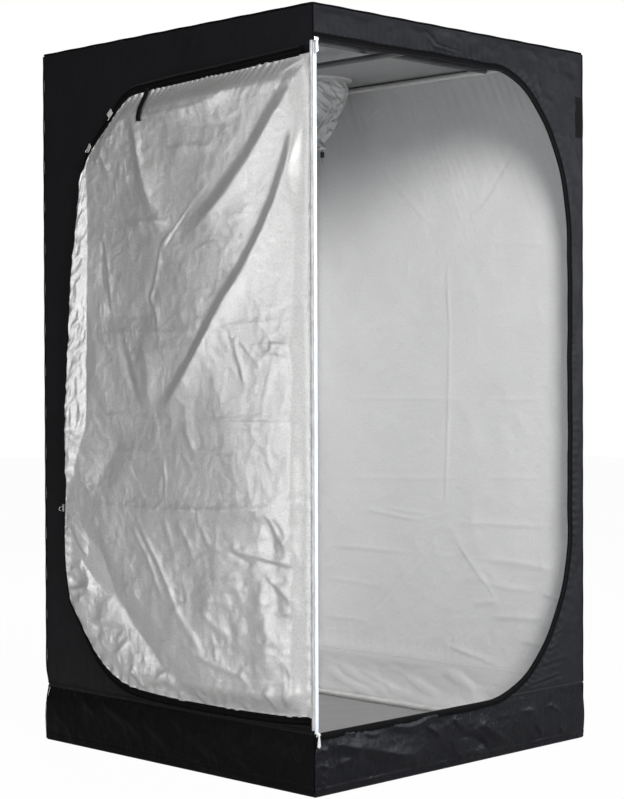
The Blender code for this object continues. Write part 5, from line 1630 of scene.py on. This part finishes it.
def makeTag():
    # blank folded tag sewn into the front wall's right edge
    low, foot, top, inset = tag["low"], tag["foot"], tag["top"], tag["inset"]
    x, z = gridOf(np.linspace(low, tag["high"], 17), np.linspace(foot, top, 49))
    curl = 0.0016 * smoothStep((x - low) / 0.010) - 0.0004
    curl = curl + 0.0007 * np.sin((z - foot) / 0.021) * smoothStep((x - low) / 0.02)
    made = closedSheet("sideTag", standing(x, z, 1, tag["face"]), wayOf(1, -1), np.maximum(curl, 0), 0.0010, 2,
                       "webbingBlack", "webbingBlack", (x, z))
    dress(made, "tent", "webbing_black", "side_tag")
    line = np.array([(low + inset, tag["face"] - 0.0001, foot + inset + t * (top - foot - 2 * inset))
                     for t in np.linspace(0, 1, 20)])
    tentStitches.append((line, wayOf(1, -1)))


vent = {
    "inside": 0.4976,
    "thick": 0.0012,
    "width": 0.198,
    "tall": 0.148,
    "foot": 0.246,
    "margin": 0.014,
    "cells": (34, 24),
    "bar": 0.0016,
    "flap": (0.105, 0.240, 0.400),    # half width, foot and top
    "flapFace": 0.5018,
    "inset": 0.006,
}


def makeVentMesh():
    # mesh panel inside the rear window
    lines = []
    for low, wide, count in ((-vent["width"] / 2, vent["width"], vent["cells"][0]),
                             (vent["foot"], vent["tall"], vent["cells"][1])):
        cell = (wide - 2 * vent["margin"]) / count
        inner = [low + vent["margin"] + cell * (k + end) + way * vent["bar"] / 2
                 for k in range(count) for end, way in ((0, 1), (1, -1))]
        lines.append(np.array([low, *inner, low + wide]))
    x, z = gridOf(*lines)
    gaps = np.logical_and(*gridOf(*(np.arange(len(line) - 1) % 2 for line in lines)))
    layers = [standing(x, z, 1, vent["inside"] - deep) for deep in (vent["thick"], 0)]
    made = piercedSheet("ventMesh", layers, gaps, (x, z), ("meshBlack",), 30, swap=True)
    dress(made, "tent", "mesh_black", "rear_vent_mesh")
    round(0.9 * sheetArea(made), 4)


def makeVentFlap():
    half, low, top = vent["flap"]
    x, z = gridOf(np.linspace(-half, half, 85), np.linspace(low, top, 65))
    edge = np.minimum(np.minimum(half - np.abs(x), z - low), 0.05)
    drop = (top - z) / (top - low)
    relief = 0.0006 * smoothStep((0.008 - edge) / 0.001)
    relief = rumpled(relief, x, z, (0.0035 * drop, 0.3, 1.0, 0.075, 181, 2)) + 0.004 * drop**2
    made = closedSheet("ventFlap", standing(x, z, 1, vent["flapFace"]), wayOf(1, 1), np.maximum(relief, 0),
                       0.0011, 2, "coverBlack", "coverSilver", (x, z))
    dress(made, "vent_flap", "cover_black", "rear_vent_flap")
    inset = vent["inset"]
    side, low, top = half - inset, low + inset, top - inset
    loop = [(a, 0.51, b) for a, b in ((-side, low), (side, low), (side, top), (-side, top), (-side, low))]
    loop = drawnOn(treeOf(made), steadyPath(loop, 0.004), wayOf(1, 1))
    sew("flapStitches", [(loop, wayOf(1, 1))], "threadGrey", "vent_flap", "cover_black")


makeTie()
makeTag()
makeVentMesh()
makeVentFlap()


def addStitches():
    at = np.linspace(-0.485, 0.485, 160)
    for side, (axis, sign, *_) in skirt["sides"].items():
        path = standing(at, 0 * at + 0.0235, axis, sign * halfSide)
        tree = treeOf(bpy.data.objects["skirt" + side.capitalize()])
        tentStitches.append((drawnOn(tree, path, wayOf(axis, sign)), wayOf(axis, sign)))
    sew("tentStitches", tentStitches, "threadBlack", "tent", "webbing_black")
    sew("doorStitches", doorStitches, "threadBlack", "door", "webbing_black")
    places = [(float(hermite(leaf["hem"], z)) - 0.0015, z) for z in np.linspace(0.74, 1.47, 180)]
    hem = [(leaf["hinge"][0] - leafOutAt(a, z) - 0.0001, leaf["hinge"][1] + a, z) for a, z in places]
    sew("hemStitches", [(np.array(hem), wayOf(0, -1))], "threadGrey", "door", "silver_cloth")


addStitches()
print("stage: zips, seams and stitches")


# Frame: tubes, roof bars and fittings
tubes = {
    "radius": 0.008,
    "bore": 0.007,
    "wall": 0.001,
    "sides": 40,
    "frame": 0.485,
    "foot": 0.0135,
    "top": 1.7865,
    "hub": 0.0112,
    "gap": 0.0003,
    "chamfer": 0.0005,
    "splice": 0.040,
    "plug": 0.0067,
}
tubeCorners = {"front_left": (-1, -1), "front_right": (1, -1), "rear_left": (-1, 1), "rear_right": (1, 1)}


def camel(name):
    return name.title().replace("_", "")


def lathe(name, profile, axis, centre, look):
    # profile: (radius, along) round a closed section, turned about an axis through centre
    sides, count = tubes["sides"], len(profile)
    points, faces, uvs = [], [], []
    for k in range(sides):
        turn = 2 * math.pi * k / sides
        for radius, along in profile:
            place = np.roll((along, radius * math.cos(turn), radius * math.sin(turn)), axis)
            points.append(place + centre)
            uvs.append((turn * 0.008, along))
        n = (k + 1) % sides
        for i in range(count):
            j = (i + 1) % count
            faces.append((k * count + i, k * count + j, n * count + j, n * count + i))
    made = addObject(name, meshOf(name, points, faces, (look,), uvs=uvs, sharp=35))
    faceOut(made.data)
    return made


def tubeProfile(low, high):
    radius, bore, chamfer = tubes["radius"], tubes["bore"], tubes["chamfer"]
    middle = [(radius, low + chamfer + (high - low - 2 * chamfer) * t) for t in np.linspace(0, 1, 9)]
    return [(bore, low), (radius - chamfer, low)] + middle + [(radius - chamfer, high), (bore, high)]


def makeFrame():
    low = tubes["foot"] + tubes["hub"] + tubes["gap"]
    high, reach = (tubes[key] - tubes["hub"] - tubes["gap"] for key in ("top", "frame"))
    middle = (low + high) / 2
    plug, wall, past = tubes["plug"], tubes["wall"], middle + tubes["splice"]
    lower = tubeProfile(low, middle)[:-2]
    lower += [(tubes["radius"] - tubes["chamfer"], middle), (plug, middle), (plug, past), (plug - wall, past),
              (plug - wall, middle - wall), (tubes["bore"], middle - 2 * wall)]
    upper = tubeProfile(middle + tubes["gap"], high)
    for corner, (x, y) in tubeCorners.items():
        for part, profile in (("lower", lower), ("upper", upper)):
            made = lathe("post" + camel(f"{part}_{corner}"), profile, 2,
                         (x * tubes["frame"], y * tubes["frame"], 0), "polePaint")
            dress(made, "tent", "pole_paint", f"post_{corner}_{part}")
    for level, height in (("bottom", tubes["foot"]), ("top", tubes["top"])):
        for side, axis, sign in (("front", 0, -1), ("rear", 0, 1), ("left", 1, -1), ("right", 1, 1)):
            centre = wayOf(1 - axis, sign * tubes["frame"]) + wayOf(2, height)
            made = lathe("rail" + camel(f"{level}_{side}"), tubeProfile(-reach, reach), axis, centre, "bareSteel")
            dress(made, "tent", "bare_steel", f"rail_{level}_{side}")


def refined(name, node, look, bevel, smooth=0, body="tent", slotName="connector_steel"):
    # a merged copy of a CAD node with its edges broken
    source = frame["nodes"][node]
    mesh = source.data.copy()
    mesh.name = name
    solid = bmesh.new()
    solid.from_mesh(mesh)
    solid.transform(source.matrix_world)
    bmesh.ops.remove_doubles(solid, verts=solid.verts, dist=1e-6)
    bmesh.ops.dissolve_limit(solid, angle_limit=math.radians(1.0), verts=solid.verts, edges=solid.edges)
    if bevel:
        hard = [e for e in solid.edges if e.is_manifold and e.calc_face_angle(0) > math.radians(32)]
        bmesh.ops.bevel(solid, geom=hard, offset=bevel, offset_type="OFFSET", segments=2, profile=0.6,
                        affect="EDGES", clamp_overlap=True)
    bmesh.ops.triangulate(solid, faces=[f for f in solid.faces if len(f.verts) > 4])
    solid.to_mesh(mesh)
    solid.free()
    mesh.materials.clear()
    mesh.materials.append(looks[look])
    mesh.shade_smooth()
    mesh.set_sharp_from_angle(angle=math.radians(40))
    made = addObject(name, mesh)
    if smooth:
        rounder = made.modifiers.new("round", "SUBSURF")
        rounder.levels = rounder.render_levels = smooth
    return dress(made, body, slotName, node)


def makeFittings():
    for level in ("bottom", "top"):
        for corner in tubeCorners:
            node = f"connector_{level}_{corner}"
            refined("connector" + camel(node[9:]), node, "connectorSteel", 0.0018)
    # the roof bars take the darker steel, a painted shade
    for way in ("long", "cross"):
        refined("roofBar" + way.title(), "roof_bar_" + way, "barSteel", 0, body=way + "_bar",
                slotName="bare_steel")
    for end in ("top", "bottom"):
        for part, bevel in (("slider", 0.0003), ("pull", 0.00035)):
            refined(part + end.title(), f"zip_{part}_{end}", "zipMetal", bevel, body=f"{part}_{end}",
                    slotName="zip_metal")
    for number in "123":
        refined("doorClip" + number, "door_clip_" + number, "clipBlack", 0.0003, body="door",
                slotName="clip_black")
        refined("clipLever" + number, "clip_lever_" + number, "zipMetal", 0, smooth=2, body="lever_" + number,
                slotName="zip_metal")
    refined("cordLock", "duct_cord_lock", "lockBlack", 0.0006, body="cord_lock", slotName="lock_black")
    refined("ductDrawcord", "duct_drawcord", "cordGrey", 0, smooth=1, slotName="cord_grey")


# Duct sleeve: a cloth tube drawn in above its mouth
sleeve = {
    "centre": (0.31, 0.31),
    "top": 1.7976,
    "flange": 0.06,      # shares of its length
    "neck": 0.90,
    "radii": ((0, 0.114), (0.06, 0.102), (0.12, 0.098), (0.3, 0.088), (0.55, 0.069), (0.78, 0.043),
              (0.90, 0.0265), (0.95, 0.031), (1.0, 0.036)),
    "heights": ((0, 1.7960), (0.06, 1.7956), (0.90, 1.6187), (1.0, 1.6027)),
    "columns": 256,
    "rows": 120,
    "pleats": 15,
    "tuck": 0.046,       # spacing of the tucks across it
}


def makeSleeve():
    turn = np.linspace(0, 2 * math.pi, sleeve["columns"], endpoint=False)
    flat, share = gridOf(turn, np.linspace(0, 1, sleeve["rows"] + 1))
    radius, height = (np.interp(share, *np.transpose(sleeve[key])) for key in ("radii", "heights"))
    flange, neck = sleeve["flange"], sleeve["neck"]
    free = smoothStep((share - flange) / 0.12)
    drift = flat + 0.35 * np.sin(3 * flat + 9 * share) * free
    deep = (0.0016 + 0.0042 * smoothStep((share - 0.35) / 0.5))
    pleat = np.sin(sleeve["pleats"] * drift + 2.2 * share) * deep * (1 - 0.45 * smoothStep((share - 0.86) / 0.04))
    slack = 0.016 * (crumple(np.cos(flat) * 0.09, np.sin(flat) * 0.09 + height * 1.4, 0.050, 191, 3) - 0.55)
    slack = slack + 0.009 * (crumple(np.cos(flat) * 0.1 + height, np.sin(flat) * 0.1 - height, 0.026, 197, 2)
                             - 0.55)
    tuck = (sleeve["top"] - height) / sleeve["tuck"] + 0.5 * np.sin(2 * flat + 0.7) + 0.25 * np.sin(5 * flat)
    slack = slack + 0.0042 * np.abs(np.sin(math.pi * tuck)) * smoothStep((0.9 - share) / 0.2)
    lean = smoothStep((share - neck + 0.12) / 0.1) * smoothStep((neck + 0.07 - share) / 0.07)
    relief = (pleat * free + slack * free * (1 - 0.75 * lean)) * smoothStep((1.02 - share) / 0.05)
    level = share < flange     # the flange lies flat, so it stands downward
    outward = np.stack([np.where(level, 0, np.cos(flat)), np.where(level, 0, np.sin(flat)),
                        np.where(level, -1.0, 0)], axis=-1)
    base = np.stack([sleeve["centre"][0] + radius * np.cos(flat), sleeve["centre"][1] + radius * np.sin(flat),
                     height], axis=-1)
    made = closedSheet("ductSleeve", base, outward, relief, 0.0011, 4, "sleeveSilver", "coverSilver",
                       (flat * 0.06, height), wrap=True)
    dress(made, "tent", "silver_cloth", "duct_sleeve")
    min(0.15, round(sheetArea(made), 3))


makeFrame()
makeFittings()
makeSleeve()
print("stage: frame, fittings and duct sleeve")


cadLooks = {
    "cover_black": "coverBlack", "skirt_black": "skirtBlack", "silver_cloth": "coverSilver",
    "tray_grey": "trayGrey", "webbing_black": "webbingBlack", "pole_paint": "polePaint",
    "bare_steel": "bareSteel", "connector_steel": "connectorSteel", "zip_metal": "zipMetal",
    "clip_black": "clipBlack", "mesh_black": "meshBlack", "cord_grey": "cordGrey", "lock_black": "lockBlack",
}


def dressCad():
    # the CAD nodes that stay get their materials by their slots
    for node in frame["nodes"].values():
        for slot in node.material_slots:
            name = slot.material.name.split(".")[0] if slot.material else ""
            found = [look for key, look in cadLooks.items() if key in name]
            if found:
                slot.material = looks[found[0]]


dressCad()
